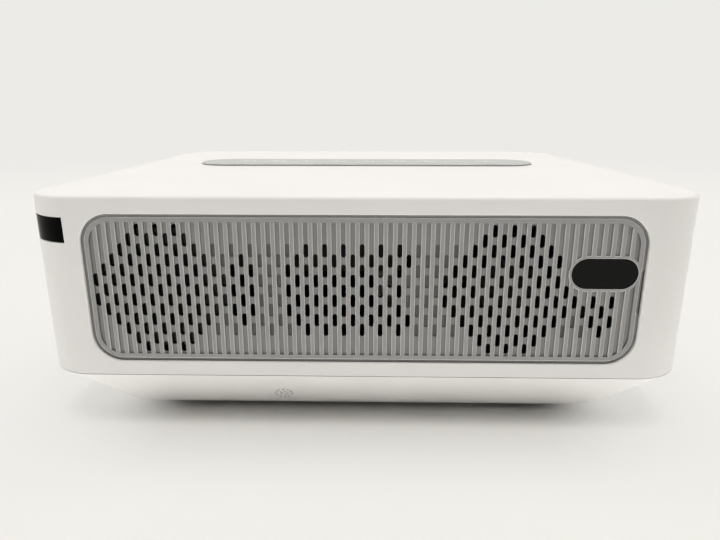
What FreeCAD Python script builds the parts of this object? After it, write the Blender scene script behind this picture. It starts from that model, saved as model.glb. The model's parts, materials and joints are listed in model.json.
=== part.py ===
import FreeCAD, Part
import math
import os
import re
import Sketcher

from FreeCAD import Placement, Rotation, Vector

# A desktop projector with a disc player in its left side.
# x runs across the case, y from the grille end to the lens end, z up from the surface it stands on.
# The origin is under the middle of the case. All sizes are millimetres.

SIZES = {
    # case shells
    "case_width": 296.0,
    "case_depth": 269.0,
    "case_top": 106.3,
    "seam_level": 25.45,
    "foot_height": 1.9,
    "foot_radius": 9.0,
    "foot_sink": 0.6,
    "foot_inset_x": 23.0,
    "foot_inset_y": 24.5,
    "wall": 2.5,
    "corner_radius": 25.0,
    "edge_round": 1.4,
    "rim_chamfer": 0.3,
    "side_taper": 27.0,
    "end_taper": 18.0,
    "side_skin": 4.0,
    "end_skin": 3.3,
    "belly_corner": 20.0,
    "belly_round": 7.0,
    "reveal_depth": 0.6,
    "reveal_height": 0.25,
    "fit_gap": 0.2,
    "lip": 2.5,
    "lip_thick": 1.5,
    # case screws and their bosses
    "boss_inset_x": 18.0,
    "boss_inset_y": 12.5,
    "boss_radius": 4.0,
    "well_radius": 6.0,
    "screw_radius": 1.5,
    "screw_head_radius": 3.0,
    "screw_head_height": 2.4,
    "screw_length": 18.0,
    "screw_web": 4.0,
    # tripod bush
    "bush_y": 55.0,
    "bush_bore": 3.175,
    "bush_radius": 5.5,
    "bush_length": 10.0,
    # sounder port in the sloping end
    "sounder_x": 37.3,
    "sounder_radius": 4.0,
    "sounder_inner": 1.5,
    "sounder_hole": 0.55,
    "sounder_count": 12,
    "sounder_middle": 5,
    "sounder_share": 0.62,
    # grilles
    "grille_level": 65.35,
    "grille_margin": 27.5,
    "grille_height": 67.1,
    "grille_corner": 13.0,
    "grille_gap": 1.1,
    "grille_recess": 1.0,
    "grille_border": 2.4,
    "groove_width": 1.95,
    "groove_depth": 0.9,
    "slot_pitch": 4.0,
    "slot_step": 4.5076,
    "slot_length": 5.9,
    "slot_drop": 0.3,
    "slot_end": 0.85,
    "notch_length": 19.5,
    "notch_depth": 0.7,
    "window_inset": 16.9,
    "window_rise": 8.25,
    "window_width": 28.4,
    "window_height": 13.5,
    "window_rim": 1.2,
    "window_sink": 0.3,
    "intake_width": 104.0,
    "intake_height": 60.0,
    "front_grille_width": 102.0,
    "front_grille_height": 58.0,
    "small_corner": 9.0,
    "filter_thick": 2.0,
    # top keys
    "plate_length": 220.0,
    "plate_width": 39.5,
    "plate_shift": 72.0,
    "plate_sink": 1.5,
    "plate_proud": 1.2,
    "key_pitch": 20.05,
    "key_radius": 6.1,
    "key_gap": 0.2,
    "key_proud": 0.2,
    "key_flange": 1.0,
    "key_flange_width": 1.0,
    "key_play": 0.1,
    "key_stem_radius": 1.6,
    "key_stem": 1.4,
    "key_travel": 0.5,
    "switch_size": 6.0,
    "switch_height": 3.5,
    "plunger_radius": 1.7,
    "plunger_height": 0.9,
    "board_thick": 1.6,
    "key_board_width": 10.4,
    # ports
    "port_shift": 29.0,
    "port_width": 144.0,
    "port_height": 22.0,
    "port_level": 42.0,
    "port_corner": 3.0,
    "port_sink": 0.6,
    "socket_gap": 0.3,
    "socket_skin": 0.8,
    "video_width": 16.0,
    "video_height": 7.0,
    "data_width": 14.0,
    "data_height": 14.6,
    "jack_radius": 4.5,
    "jack_bore": 1.8,
    "socket_length": 14.0,
    "socket_pitch": 15.2,
    "socket_sink": 0.4,
    "inlet_inset": 16.0,
    "inlet_width": 20.0,
    "inlet_height": 11.0,
    "inlet_length": 18.0,
    "inlet_depth": 11.0,
    "inlet_bore": 3.6,
    "inlet_pin": 1.2,
    "inlet_spread": 4.3,
    # disc bay band
    "band_bottom": 86.3,
    "band_top": 97.3,
    "band_wrap": 20.75,
    "front_gap": 0.3,
    # loader
    "disc_inset": 68.0,
    "loader_inset": 83.5,
    "disc_radius": 60.75,
    "disc_sink": 2.5,
    "tray_width": 126.0,
    "tray_length": 163.5,
    "tray_thick": 5.0,
    "tray_slot": 44.0,
    "tray_margin": 4.0,
    "rack_height": 3.0,
    "rack_back": 3.0,
    "rack_line": 55.0,
    "rack_clear": 0.4,
    "side_play": 0.4,
    "ledge_play": 0.3,
    "ledge_width": 3.0,
    "ledge_thick": 2.0,
    "rail_thick": 3.0,
    "chassis_level": 70.0,
    "chassis_floor": 2.0,
    "chassis_setback": 4.5,
    "chassis_back": 2.5,
    "back_gap": 1.5,
    "bridge_gap": 3.0,
    "bridge_width": 30.0,
    "bridge_thick": 2.0,
    "bridge_hole": 10.0,
    "clamp_radius": 15.0,
    "clamp_neck": 9.5,
    "clamp_cap": 13.0,
    "clamp_play": 0.3,
    "clamp_cap_thick": 1.4,
    "hub_radius": 7.4,
    "hub_height": 3.0,
    "hub_recess": 8.2,
    # traverse
    "lift": 5.0,
    "lift_clear": 1.0,
    "deck_gap": 2.0,
    "deck_thick": 2.0,
    "deck_front": 22.5,
    "deck_length": 118.5,
    "deck_width": 64.0,
    "turntable_radius": 15.0,
    "turntable_thick": 2.0,
    "spindle_radius": 12.0,
    "spindle_height": 10.2,
    "spindle_shaft": 1.0,
    "shaft_clear": 0.05,
    "rod_radius": 1.5,
    "rod_offset": 17.0,
    "rod_rise": 4.5,
    "rod_holder": 2.5,
    "pickup_radius": 23.0,
    "pickup_lead": 5.5,
    "pickup_length": 24.0,
    "pickup_half": 21.0,
    "pickup_lens": 3.2,
    "pickup_drop": 3.0,
    "pickup_rise": 3.5,
    "pickup_head": 2.5,
    "pickup_lens_rise": 0.8,
    "feed_offset": 25.0,
    "feed_rise": 4.0,
    "feed_radius": 1.4,
    "feed_length": 62.0,
    "feed_motor_radius": 3.5,
    "feed_motor_length": 11.5,
    "guide_radius": 2.0,
    "guide_clear": 0.1,
    "pin_radius": 1.5,
    "pin_clear": 0.2,
    "pin_near": 10.0,
    "pin_far": 70.0,
    "slider_front": 18.0,
    "slider_length": 94.0,
    "slider_gap": 0.4,
    "slider_thick": 3.0,
    "slider_clear": 0.3,
    "slider_fence": 8.0,
    "guide_inset": 6.5,
    "cam_travel": 20.0,
    # loading drive
    "gear_u": 48.5,
    "tray_module": 1.0,
    "tray_teeth": 20,
    "train_module": 0.8,
    "wheel_teeth": 36,
    "pinion_teeth": 12,
    "wheel_thick": 3.6,
    "gear_clear": 0.3,
    "pulley_radius": 11.0,
    "pulley_height": 4.0,
    "pulley_groove": 1.2,
    "motor_pulley_radius": 4.0,
    "belt_play": 0.08,
    "belt_shy": 0.3,
    "tooth_thin": 0.1,
    "axle_shoulder": 3.0,
    "belt_span": 34.8,
    "loading_motor_radius": 10.0,
    "loading_motor_length": 12.0,
    "motor_shaft": 1.0,
    "axle_radius": 1.5,
    # light engine
    "engine_gap": 2.0,
    "fan_room": 25.5,
    "lens_room": 62.0,
    "sink_gap": 4.0,
    "engine_height": 58.0,
    "engine_wall": 2.0,
    "lid_thick": 2.5,
    "led_hole": 14.0,
    "led_board": 46.0,
    "led_thick": 3.0,
    "emitter_radius": 9.0,
    "emitter_thick": 1.5,
    "sink_margin": 12.0,
    "sink_height": 50.0,
    "sink_base": 5.0,
    "sink_depth": 41.0,
    "fin_thick": 1.5,
    "fin_count": 11,
    "condenser_radius": 24.0,
    "condenser_inset": 20.0,
    "condenser_rim": 4.0,
    "condenser_bulge": 7.0,
    "panel_shift": 1.0,
    "panel_height": 52.0,
    "panel_thick": 4.0,
    "fresnel_thick": 2.0,
    "fresnel_gap": 8.0,
    # projection lens
    "lens_mount_plate": 3.0,
    "lens_mount_width": 64.0,
    "lens_mount_length": 42.0,
    "lens_mount_skin": 3.0,
    "barrel_radius": 22.5,
    "barrel_skin": 2.0,
    "barrel_clear": 0.08,
    "barrel_start": 8.0,
    "barrel_length": 52.0,
    "focus_clear": 0.4,
    "focus_radius": 27.0,
    "focus_length": 20.7,
    "bezel_hole": 33.0,
    "bezel_lip": 3.0,
    "glass_rim": 3.0,
    "glass_bulge": 3.5,
    # fans
    "exhaust_side": 7.0,
    "exhaust_size": 70.0,
    "exhaust_depth": 15.0,
    "exhaust_gap": 3.5,
    "intake_size": 60.0,
    "intake_depth": 10.0,
    "fan_rim": 2.0,
    "fan_hub": 13.0,
    "fan_web": 2.0,
    "fan_clear": 0.8,
    "blade_count": 7,
    "blade_thick": 1.2,
    "blade_pitch": 38.0,
    # speakers
    "speaker_inset": 60.0,
    "speaker_width": 58.0,
    "speaker_height": 54.0,
    "speaker_depth": 12.0,
    "speaker_skin": 1.5,
    "cone_radius": 22.0,
    "cone_depth": 6.0,
    "magnet_radius": 11.0,
    # boards and posts
    "main_shift": 4.0,
    "main_level": 34.0,
    "main_length": 146.0,
    "main_width": 78.0,
    "power_level": 30.0,
    "power_length": 108.0,
    "power_width": 78.0,
    "power_shift": 18.0,
    "board_setback": 7.0,
    "post_radius": 3.5,
    "post_inset": 5.0,
    "chip_height": 3.0,
    "coil_size": 24.0,
    "coil_height": 20.0,
    "can_radius": 7.0,
    "can_height": 22.0,
    "inlet_foot": 12.0,
    "loader_post": 5.0,
    "loader_post_front": 29.0,
    "loader_post_back": 10.0,
    "loader_post_gap": 12.0,
}

# Sizes and levels that follow from the driving ones.
WORKED = {
    "half_width": "case_width / 2",
    "half_depth": "case_depth / 2",
    "upper_height": "case_top - seam_level",
    "inner_width": "case_width - 2 * wall",
    "inner_depth": "case_depth - 2 * wall",
    "inner_corner": "corner_radius - wall",
    "inner_top": "case_top - wall",
    "inside_x": "half_width - wall",
    "inside_y": "half_depth - wall",
    "lower_width": "case_width - 2 * side_taper",
    "lower_depth": "case_depth - 2 * end_taper",
    "foot_x": "lower_width / 2 - foot_inset_x",
    "foot_y": "lower_depth / 2 - foot_inset_y",
    "floor_level": "foot_height + wall",
    "boss_x": "half_width - boss_inset_x",
    "boss_y": "half_depth - boss_inset_y",
    "grille_width": "case_width - 2 * grille_margin",
    "window_x": "grille_width / 2 - window_inset",
    "disc_x": "disc_inset + wall - half_width",
    "loader_y": "loader_inset - half_depth",
    "plate_y": "loader_y + plate_shift",
    "plate_level": "case_top - plate_sink",
    "plate_thick": "plate_sink + plate_proud",
    "flange_radius": "key_radius + key_flange_width",
    "flange_level": "plate_level - key_play - key_flange",
    "key_height": "case_top + plate_proud + key_proud - flange_level",
    "stem_bottom": "flange_level - key_stem",
    "key_board_level": "stem_bottom - key_travel - key_play - plunger_height - switch_height - board_thick",
    "key_board_length": "8 * key_pitch + 1.2 * key_pitch",
    "tray_bottom": "band_bottom + rack_clear + rack_height",
    "tray_top": "tray_bottom + tray_thick",
    "tray_front_u": "-disc_inset",
    "tray_back_u": "tray_front_u + tray_length",
    "panel_half": "tray_width / 2 + tray_margin",
    "rail_v": "tray_width / 2 + side_play",
    "chassis_u": "tray_front_u + chassis_setback",
    "chassis_end_u": "tray_back_u + back_gap + chassis_back",
    "chassis_length": "chassis_end_u - chassis_u",
    "chassis_width": "2 * (rail_v + rail_thick)",
    "chassis_top": "tray_top + bridge_gap",
    "floor_top": "chassis_level + chassis_floor",
    "disc_level": "tray_top - disc_sink",
    "seat_level": "disc_level + lift_clear - lift",
    "deck_level": "floor_top + deck_gap",
    "deck_top": "deck_level + deck_thick",
    "gear_v": "rack_line - tray_module * tray_teeth / 2",
    "train_gap": "train_module * (wheel_teeth + pinion_teeth) / 2",
    "pinion_v": "gear_v - train_gap",
    "motor_v": "pinion_v - belt_span",
    "pulley_level": "floor_top + deck_gap",
    "pinion_level": "pulley_level + pulley_height",
    "wheel_level": "pinion_level + gear_clear",
    "optics_level": "grille_level",
    "engine_left": "disc_x + chassis_end_u + engine_gap",
    "engine_right": "inside_x - fan_room",
    "engine_width": "engine_right - engine_left",
    "optics_x": "(engine_left + engine_right) / 2",
    "engine_front": "inside_y - lens_room",
    "engine_rear": "exhaust_y - exhaust_depth - sink_gap - sink_depth - led_thick",
    "sink_width": "engine_width - 2 * sink_margin",
    "condenser_y": "condenser_inset - engine_rear",
    "panel_y": "(engine_front - engine_rear) / 2 + panel_shift",
    "engine_level": "optics_level - engine_height / 2",
    "barrel_y": "engine_front + barrel_start",
    "focus_y": "engine_front + lens_mount_length + focus_clear",
    "speaker_x": "speaker_inset - half_width",
    "front_grille_x": "speaker_x + 5 * slot_pitch",
    "exhaust_x": "disc_x + chassis_end_u + exhaust_side + exhaust_size / 2",
    "exhaust_y": "inside_y - lip_thick - exhaust_gap",
    "main_x": "board_setback - inside_x + main_length / 2",
    "main_y": "loader_y + main_shift",
    "port_y": "main_y + port_shift",
    "inlet_y": "port_y + port_width / 2 - inlet_inset",
    "power_y": "inlet_y + power_shift",
    "power_x": "board_setback - inside_x + power_length / 2",
    "main_top": "main_level + board_thick",
    "socket_face": "inside_x + wall - port_sink - socket_sink",
    "inlet_level": "main_top + inlet_height / 2",
    "hub_pocket": "seat_level + lift + hub_height - tray_top + clamp_play",
    "rod_start": "pickup_radius - pickup_lead - rod_holder",
    "rod_end": "pickup_radius - pickup_lead + feed_length + rod_holder",
    "fence_v": "-deck_width / 2 - slider_gap - slider_thick - slider_clear",
    "power_top": "power_level + board_thick",
}

os.makedirs("parts", exist_ok=True)
doc = FreeCAD.newDocument("DiscProjector")
sheet = doc.addObject("Spreadsheet::Sheet", "Sizes")
for row, (alias, value) in enumerate(SIZES.items(), start=1):
    sheet.set(f"A{row}", alias)
    sheet.set(f"B{row}", str(value))
    sheet.setAlias(f"B{row}", alias)
doc.recompute()

PIECES = []

# How a piece that is drawn lying flat, with z outwards, turns to face each side of the case.
UPRIGHT = Rotation(Vector(1, 0, 0), 90)
FACING = {
    "rear": UPRIGHT,
    "front": Rotation(Vector(0, 0, 1), 180) * UPRIGHT,
    "right": Rotation(Vector(0, 0, 1), 90) * UPRIGHT,
    "left": Rotation(Vector(0, 0, 1), -90) * UPRIGHT,
}
ALONG = {
    "x": Rotation(Vector(0, 1, 0), 90),
    "y": Rotation(Vector(1, 0, 0), -90),
    "z": Rotation(),
}


# ------------------------------------------------------------------ helpers


def spell(formula):
    """The formula with each named size read from the sheet."""

    def read(match):
        word = match.group(0)
        if word in SIZES:
            return "Sizes." + word
        if word in WORKED:
            return "(" + spell(WORKED[word]) + ")"
        return word

    return re.sub(r"[a-z][a-z_]*", read, str(formula))


def number(formula):
    """The present value of a formula of named sizes."""
    return float(sheet.evalExpression(spell(formula)))


def bind(item, **sizes):
    """Tie properties of an object to formulas of named sizes."""
    for name, formula in sizes.items():
        item.setExpression(name, spell(formula))
    return item


def put(item, x, y, z, turn=None):
    """Place an object at formulas of named sizes, turned first."""
    if turn is not None:
        item.Placement = Placement(Vector(), turn)
    item.setExpression("Placement.Base.x", spell(x))
    item.setExpression("Placement.Base.y", spell(y))
    item.setExpression("Placement.Base.z", spell(z))
    return item


def seat(item, side, across, up, out):
    """Stand a flat-drawn object on one side of the case, `out` from the middle of the case."""
    places = {
        "rear": (across, f"-({out})", up),
        "front": (across, out, up),
        "right": (out, across, up),
        "left": (f"-({out})", across, up),
    }
    return put(item, *places[side], turn=FACING[side])


def block(width, depth, height, x="0", y="0", z="0"):
    """A box centred on x and y that stands on z."""
    box = doc.addObject("Part::Box", "Block")
    bind(box, Length=width, Width=depth, Height=height)
    return put(box, f"({x}) - ({width}) / 2", f"({y}) - ({depth}) / 2", z)


def span(x_low, x_high, y_low, y_high, z_low, z_high):
    """A box between two limits on each axis."""
    box = doc.addObject("Part::Box", "Span")
    bind(
        box,
        Length=f"({x_high}) - ({x_low})",
        Width=f"({y_high}) - ({y_low})",
        Height=f"({z_high}) - ({z_low})",
    )
    return put(box, x_low, y_low, z_low)


def rod(radius, length, x="0", y="0", z="0", axis="z"):
    """A cylinder from x, y, z along an axis."""
    cylinder = doc.addObject("Part::Cylinder", "Rod")
    bind(cylinder, Radius=radius, Height=length)
    return put(cylinder, x, y, z, turn=ALONG[axis])


def join(*solids):
    """The solids made one."""
    if len(solids) == 1:
        return solids[0]
    fused = doc.addObject("Part::MultiFuse", "Join")
    fused.Shapes = list(solids)
    fused.Refine = True
    return fused


def cut(base, *tools):
    """The base with every tool taken away."""
    rest = doc.addObject("Part::Cut", "Cut")
    rest.Base = base
    rest.Tool = join(*tools)
    rest.Refine = True
    return rest


def common(first, second):
    """What two solids share."""
    shared = doc.addObject("Part::Common", "Common")
    shared.Base = first
    shared.Tool = second
    return shared


def group(*solids):
    """Separate solids kept as one piece."""
    together = doc.addObject("Part::Compound", "Group")
    together.Links = list(solids)
    return together


def corners(width, depth, corner, z="0"):
    """A sketch of a rounded rectangle about the origin."""
    sketch = doc.addObject("Sketcher::SketchObject", "Corners")
    across = number(width) / 2
    along = number(depth) / 2
    turn = number(corner)
    middles = [
        Vector(across - turn, turn - along, 0),
        Vector(across - turn, along - turn, 0),
        Vector(turn - across, along - turn, 0),
        Vector(turn - across, turn - along, 0),
    ]
    for quarter, middle in enumerate(middles):
        start = (quarter - 1) * math.pi / 2
        before = middles[quarter - 1]
        out = Vector(math.cos(start), math.sin(start), 0) * turn
        sketch.addGeometry(Part.LineSegment(before + out, middle + out), False)
        ring = Part.Circle(middle, Vector(0, 0, 1), turn)
        sketch.addGeometry(Part.ArcOfCircle(ring, start, start + math.pi / 2), False)
    rules = [Sketcher.Constraint("Tangent", n, 2, (n + 1) % 8, 1) for n in range(8)]
    rules += [Sketcher.Constraint("Horizontal", n) for n in (0, 4)]
    rules += [Sketcher.Constraint("Vertical", n) for n in (2, 6)]
    rules += [Sketcher.Constraint("Equal", n, n + 2) for n in (1, 3, 5)]
    rules += [Sketcher.Constraint("Symmetric", 0, 1, 4, 1, -1, 1)]
    sketch.addConstraint(rules)
    hold(sketch, "corner", Sketcher.Constraint("Radius", 1, turn), corner)
    hold(sketch, "width", Sketcher.Constraint("DistanceX", 6, 1, 2, 1, 2 * across), width)
    hold(sketch, "depth", Sketcher.Constraint("DistanceY", 0, 1, 4, 1, 2 * along), depth)
    return put(sketch, "0", "0", z)


def hold(sketch, name, constraint, formula):
    """Add a dimension to a sketch and tie it to a formula."""
    place = sketch.addConstraint(constraint)
    sketch.renameConstraint(place, name)
    sketch.setExpression("Constraints." + name, spell(formula))


def slab(width, depth, height, corner, z="0"):
    """A rounded rectangle raised from z."""
    raised = doc.addObject("Part::Extrusion", "Slab")
    raised.Base = corners(width, depth, corner, z)
    raised.DirMode = "Normal"
    raised.Solid = True
    return bind(raised, LengthFwd=height)


def stadium(length, width, height, x="0", y="0", z="0"):
    """A flat piece with two half-round ends."""
    middle = f"(({length}) - ({width}))"
    return join(
        block(middle, width, height, x, y, z),
        rod(f"({width}) / 2", height, f"({x}) - {middle} / 2", y, z),
        rod(f"({width}) / 2", height, f"({x}) + {middle} / 2", y, z),
    )


def outline(body, role, points):
    """A closed sketch of straight lines whose corners are formulas."""
    sketch = body.newObject("Sketcher::SketchObject", "Outline")
    plane = next(item for item in body.Origin.OriginFeatures if item.Role == role)
    sketch.AttachmentSupport = (plane, [""])
    sketch.MapMode = "FlatFace"
    spots = [Vector(number(u), number(v), 0) for u, v in points]
    for n, spot in enumerate(spots):
        sketch.addGeometry(Part.LineSegment(spots[n - 1], spot), False)
    for n in range(len(spots)):
        sketch.addConstraint(Sketcher.Constraint("Coincident", n - 1 if n else len(spots) - 1, 2, n, 1))
    for n, (u, v) in enumerate(points):
        fix_corner(sketch, n, "DistanceX", u, spots[n].x, -2)
        fix_corner(sketch, n, "DistanceY", v, spots[n].y, -1)
    return sketch


def fix_corner(sketch, line, kind, formula, value, axis):
    """Hold the end of a line at a distance from the origin, or on an axis where that is zero."""
    if formula == "0":
        sketch.addConstraint(Sketcher.Constraint("PointOnObject", line, 2, axis))
    else:
        rule = Sketcher.Constraint(kind, -1, 1, line, 2, value)
        hold(sketch, f"{kind[-1].lower()}_{line}", rule, formula)


def turned(*profile):
    """A body turned about z, from corners given as radius and height."""
    body = doc.addObject("PartDesign::Body", "Turned")
    spin = body.newObject("PartDesign::Revolution", "Spin")
    sketch = outline(body, "XZ_Plane", profile)
    spin.Profile = sketch
    spin.ReferenceAxis = (sketch, ["V_Axis"])
    spin.Angle = 360
    body.Tip = spin
    return body


def keep(name, solid, x=None, y="0", z="0", turn=None):
    """Name a finished piece, place it and list it for export."""
    if x is not None:
        if any("Placement" in path for path, formula in solid.ExpressionEngine):
            solid = group(solid)
        put(solid, x, y, z, turn)
    solid.Label = name
    PIECES.append(solid)
    return solid


def feature(shape):
    """A shape that is worked out in code, as an object of the document."""
    item = doc.addObject("Part::Feature", "Worked")
    item.Shape = shape
    return item


def legs(x, y, apart_x, apart_y, top, radius):
    """Posts from the underside up to `top`, at the corners of a rectangle."""
    return [
        rod(radius, f"({top}) - foot_height", f"({x}) + {a} * ({apart_x}) / 2",
            f"({y}) + {b} * ({apart_y}) / 2", "foot_height")
        for a in (-1, 1)
        for b in (-1, 1)
    ]


# ------------------------------------------------------------------ grilles


def flat_corners(width, height, corner):
    """A rounded rectangle as a face."""
    box = Part.makeBox(width, height, 1, Vector(-width / 2, -height / 2, 0))
    upright = [edge for edge in box.Edges if edge.BoundBox.ZLength > 0.5]
    solid = box.makeFillet(corner, upright)
    return next(side for side in solid.Faces if abs(side.CenterOfMass.z) < 1e-6)


def lifted(shape, level):
    """A copy of a flat shape at a level."""
    copy = shape.copy()
    copy.translate(Vector(0, 0, level))
    return copy


def flat_slot(x, y, width, height, longest=math.inf):
    """An upright slot with half-round ends, as a face, that stops `longest` above and below the middle."""
    turn = width / 2
    low = Vector(x, max(y - height / 2, -longest) + turn, 0)
    high = Vector(x, min(y + height / 2, longest) - turn, 0)
    side = Vector(turn, 0, 0)
    edges = [
        Part.LineSegment(low + side, high + side).toShape(),
        Part.Arc(high + side, high + Vector(0, turn, 0), high - side).toShape(),
        Part.LineSegment(high - side, low - side).toShape(),
        Part.Arc(low - side, low - Vector(0, turn, 0), low + side).toShape(),
    ]
    return Part.Face(Part.Wire(edges))


def flat_window(x, y, width, height):
    """A lying capsule as a face."""
    slot = flat_slot(0, 0, height, width)
    slot.rotate(Vector(), Vector(0, 0, 1), 90)
    slot.translate(Vector(x, y, 0))
    return slot


def honeycomb(column, row, middle, reach, limit):
    """Whether a site lies in a six-sided cluster about a column."""
    return abs(column - middle) < reach and abs(row) <= min(limit, reach - abs(column - middle))


def near_window(x, y):
    """Whether a slot at a place would run into the rim of the window."""
    beside = abs(x - number("window_x")) - number("(window_width - window_height) / 2")
    above = abs(y - number("window_rise")) - number("(slot_length - groove_width) / 2")
    room = number("(window_height + groove_width) / 2 + window_rim")
    return math.hypot(max(beside, 0.0), max(above, 0.0)) < room


def rear_open(column, row, last):
    """The sites of the rear grille that go right through; its clusters keep to its last columns."""
    from_end = last - column
    if honeycomb(column, row, 7 - last, 8, 6):
        return True
    if honeycomb(column, row, last - 13, 8, 6):
        return (from_end, row) not in ((7, -2), (6, -1))
    if abs(column + 13) <= 1:
        return abs(row) <= 3 - abs(column + 13)
    if -8 <= column <= 4:
        return abs(row) <= min(4, column + 10)
    if column == 5:
        return abs(row) == 3
    return (from_end, row) in ((5, 2), (3, 2), (3, 4), (4, 1), (4, 3), (2, 1), (2, 3))


def rear_blind(column, row, last):
    """The sites of the rear grille that are only sunk into it."""
    if rear_open(column, row, last):
        return False
    between = -16 <= column <= 10 and abs(row) <= 4
    return between or (last - column, row) in ((7, 4), (5, 4), (6, 3))


def grille(name, side, across, wide, high, corner, is_open, is_blind=None, window=False, notch=False):
    """A panel that fits an opening from inside: flange, recessed frame, grooves and slots."""
    width = number(wide)
    height = number(high)
    turn = number(corner)
    gap = number("grille_gap")
    lip = number("lip")
    flange = number("lip_thick")
    face_level = number("wall - grille_recess")
    groove_level = face_level - number("groove_depth")
    pitch = number("slot_pitch")
    step = number("slot_step")
    slot_width = number("groove_width")
    slot_length = number("slot_length")
    border = gap + number("grille_border")
    frame = flat_corners(width - 2 * gap, height - 2 * gap, turn - gap)
    field = flat_corners(width - 2 * border, height - 2 * border, max(turn - border, 1.0))
    back = flat_corners(width + 2 * lip, height + 2 * lip, turn + lip)
    columns = int((width / 2 - border - slot_width / 2) // pitch)
    rows = int((height / 2) // step) + 1

    def place_of(column, row):
        return column * pitch, -row * step - number("slot_drop")

    grooves = Part.Compound(
        [
            Part.makePlane(slot_width, height, Vector(n * pitch - slot_width / 2, -height / 2, 0))
            for n in range(-columns, columns + 1)
        ]
    ).common(field)
    sites = [
        (column, row)
        for column in range(-columns, columns + 1)
        for row in range(-rows, rows + 1)
        if (column + row) % 2 == 0 and not (window and near_window(*place_of(column, row)))
    ]
    longest = height / 2 - border - number("slot_end")
    holes = [
        flat_slot(*place_of(column, row), slot_width, slot_length, longest)
        for column, row in sites
        if is_open(column, row, columns)
    ]
    dents = [
        flat_slot(*place_of(column, row), slot_width, slot_length, longest)
        for column, row in sites
        if is_blind and is_blind(column, row, columns)
    ]
    if window:
        place = (number("window_x"), number("window_rise"))
        size = (number("window_width"), number("window_height"))
        rim = 2 * number("window_rim")
        grooves = grooves.cut(flat_window(*place, size[0] + rim, size[1] + rim))
    if notch:
        depth = number("notch_depth")
        length = number("notch_length")
        frame = frame.cut(Part.makePlane(2 * depth, length, Vector(width / 2 - gap - depth, -length / 2, 0)))
        frame = frame.Faces[0]
    pane = [flat_window(*place, *size)] if window else []
    sheets = [
        (frame.cut(Part.Compound(grooves.Faces + pane)), face_level),
        (grooves.cut(Part.Compound(holes + dents)), groove_level),
        (Part.Compound(dents), 0),
        (back.cut(frame), 0),
        (back.cut(Part.Compound(holes + pane)), -flange),
    ]
    walls = [
        (grooves.Faces, groove_level, face_level),
        (holes, -flange, groove_level),
        (dents, 0, groove_level),
        (pane, -flange, face_level),
        ([frame], 0, face_level),
        ([back], -flange, 0),
    ]
    faces = [side for flat, level in sheets for side in lifted(flat, level).Faces]
    for flats, low, high in walls:
        for flat in flats:
            faces += lifted(flat.OuterWire, low).extrude(Vector(0, 0, high - low)).Faces
    skin = Part.Compound(faces)
    skin.sewShape()
    solid = Part.Solid(skin.Shells[0])
    if solid.Volume < 0:
        solid.reverse()
    panel = feature(solid)
    keep(name, panel)
    return seat(panel, side, across, "grille_level", "inside_y" if side in ("rear", "front") else "inside_x")


def make_grilles():
    grille("rear_grille", "rear", "0", "grille_width", "grille_height", "grille_corner",
           rear_open, rear_blind, window=True, notch=True)
    grille("front_grille", "front", "front_grille_x", "front_grille_width", "front_grille_height",
           "small_corner", lambda column, row, last: honeycomb(column, row, 5, 7, 5))
    grille("intake_grille", "right", "0", "intake_width", "intake_height", "small_corner",
           lambda column, row, last: honeycomb(column, row, 0, 12, 5))
    pane = join(
        stadium("window_width - 0.1", "window_height - 0.1", "wall - grille_recess - window_sink + lip_thick",
                z="-lip_thick"),
        stadium("window_width + 4", "window_height + 4", "lip_thick", z="-2 * lip_thick"),
    )
    keep("ir_window", pane)
    seat(pane, "rear", "window_x", "grille_level + window_rise", "inside_y")
    screen = slab("intake_width", "intake_height", "filter_thick", "small_corner")
    keep("intake_filter", screen)
    seat(screen, "right", "0", "grille_level", "inside_x - lip_thick - filter_thick")


# ------------------------------------------------------------------ case


def wall_opening(side, opening, across="0", up="grille_level"):
    """A shape drawn flat, stood where it cuts through one wall of the case."""
    out = "inside_y - wall" if side in ("rear", "front") else "inside_x - wall"
    return seat(opening, side, across, up, out)


def band_ring(outer_gap, inner_gap, low, high, y_end, x_end):
    """A strip of the wall's corner on the grille and disc sides, between two levels."""
    ring = cut(
        slab(f"case_width - 2 * ({outer_gap})", f"case_depth - 2 * ({outer_gap})", f"({high}) - ({low})",
             f"corner_radius - ({outer_gap})", low),
        slab(f"case_width - 2 * ({inner_gap})", f"case_depth - 2 * ({inner_gap})", f"({high}) - ({low})",
             f"corner_radius - ({inner_gap})", low),
    )
    return common(ring, span("-half_width - wall", x_end, "-half_depth - wall", y_end, low, high))


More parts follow.
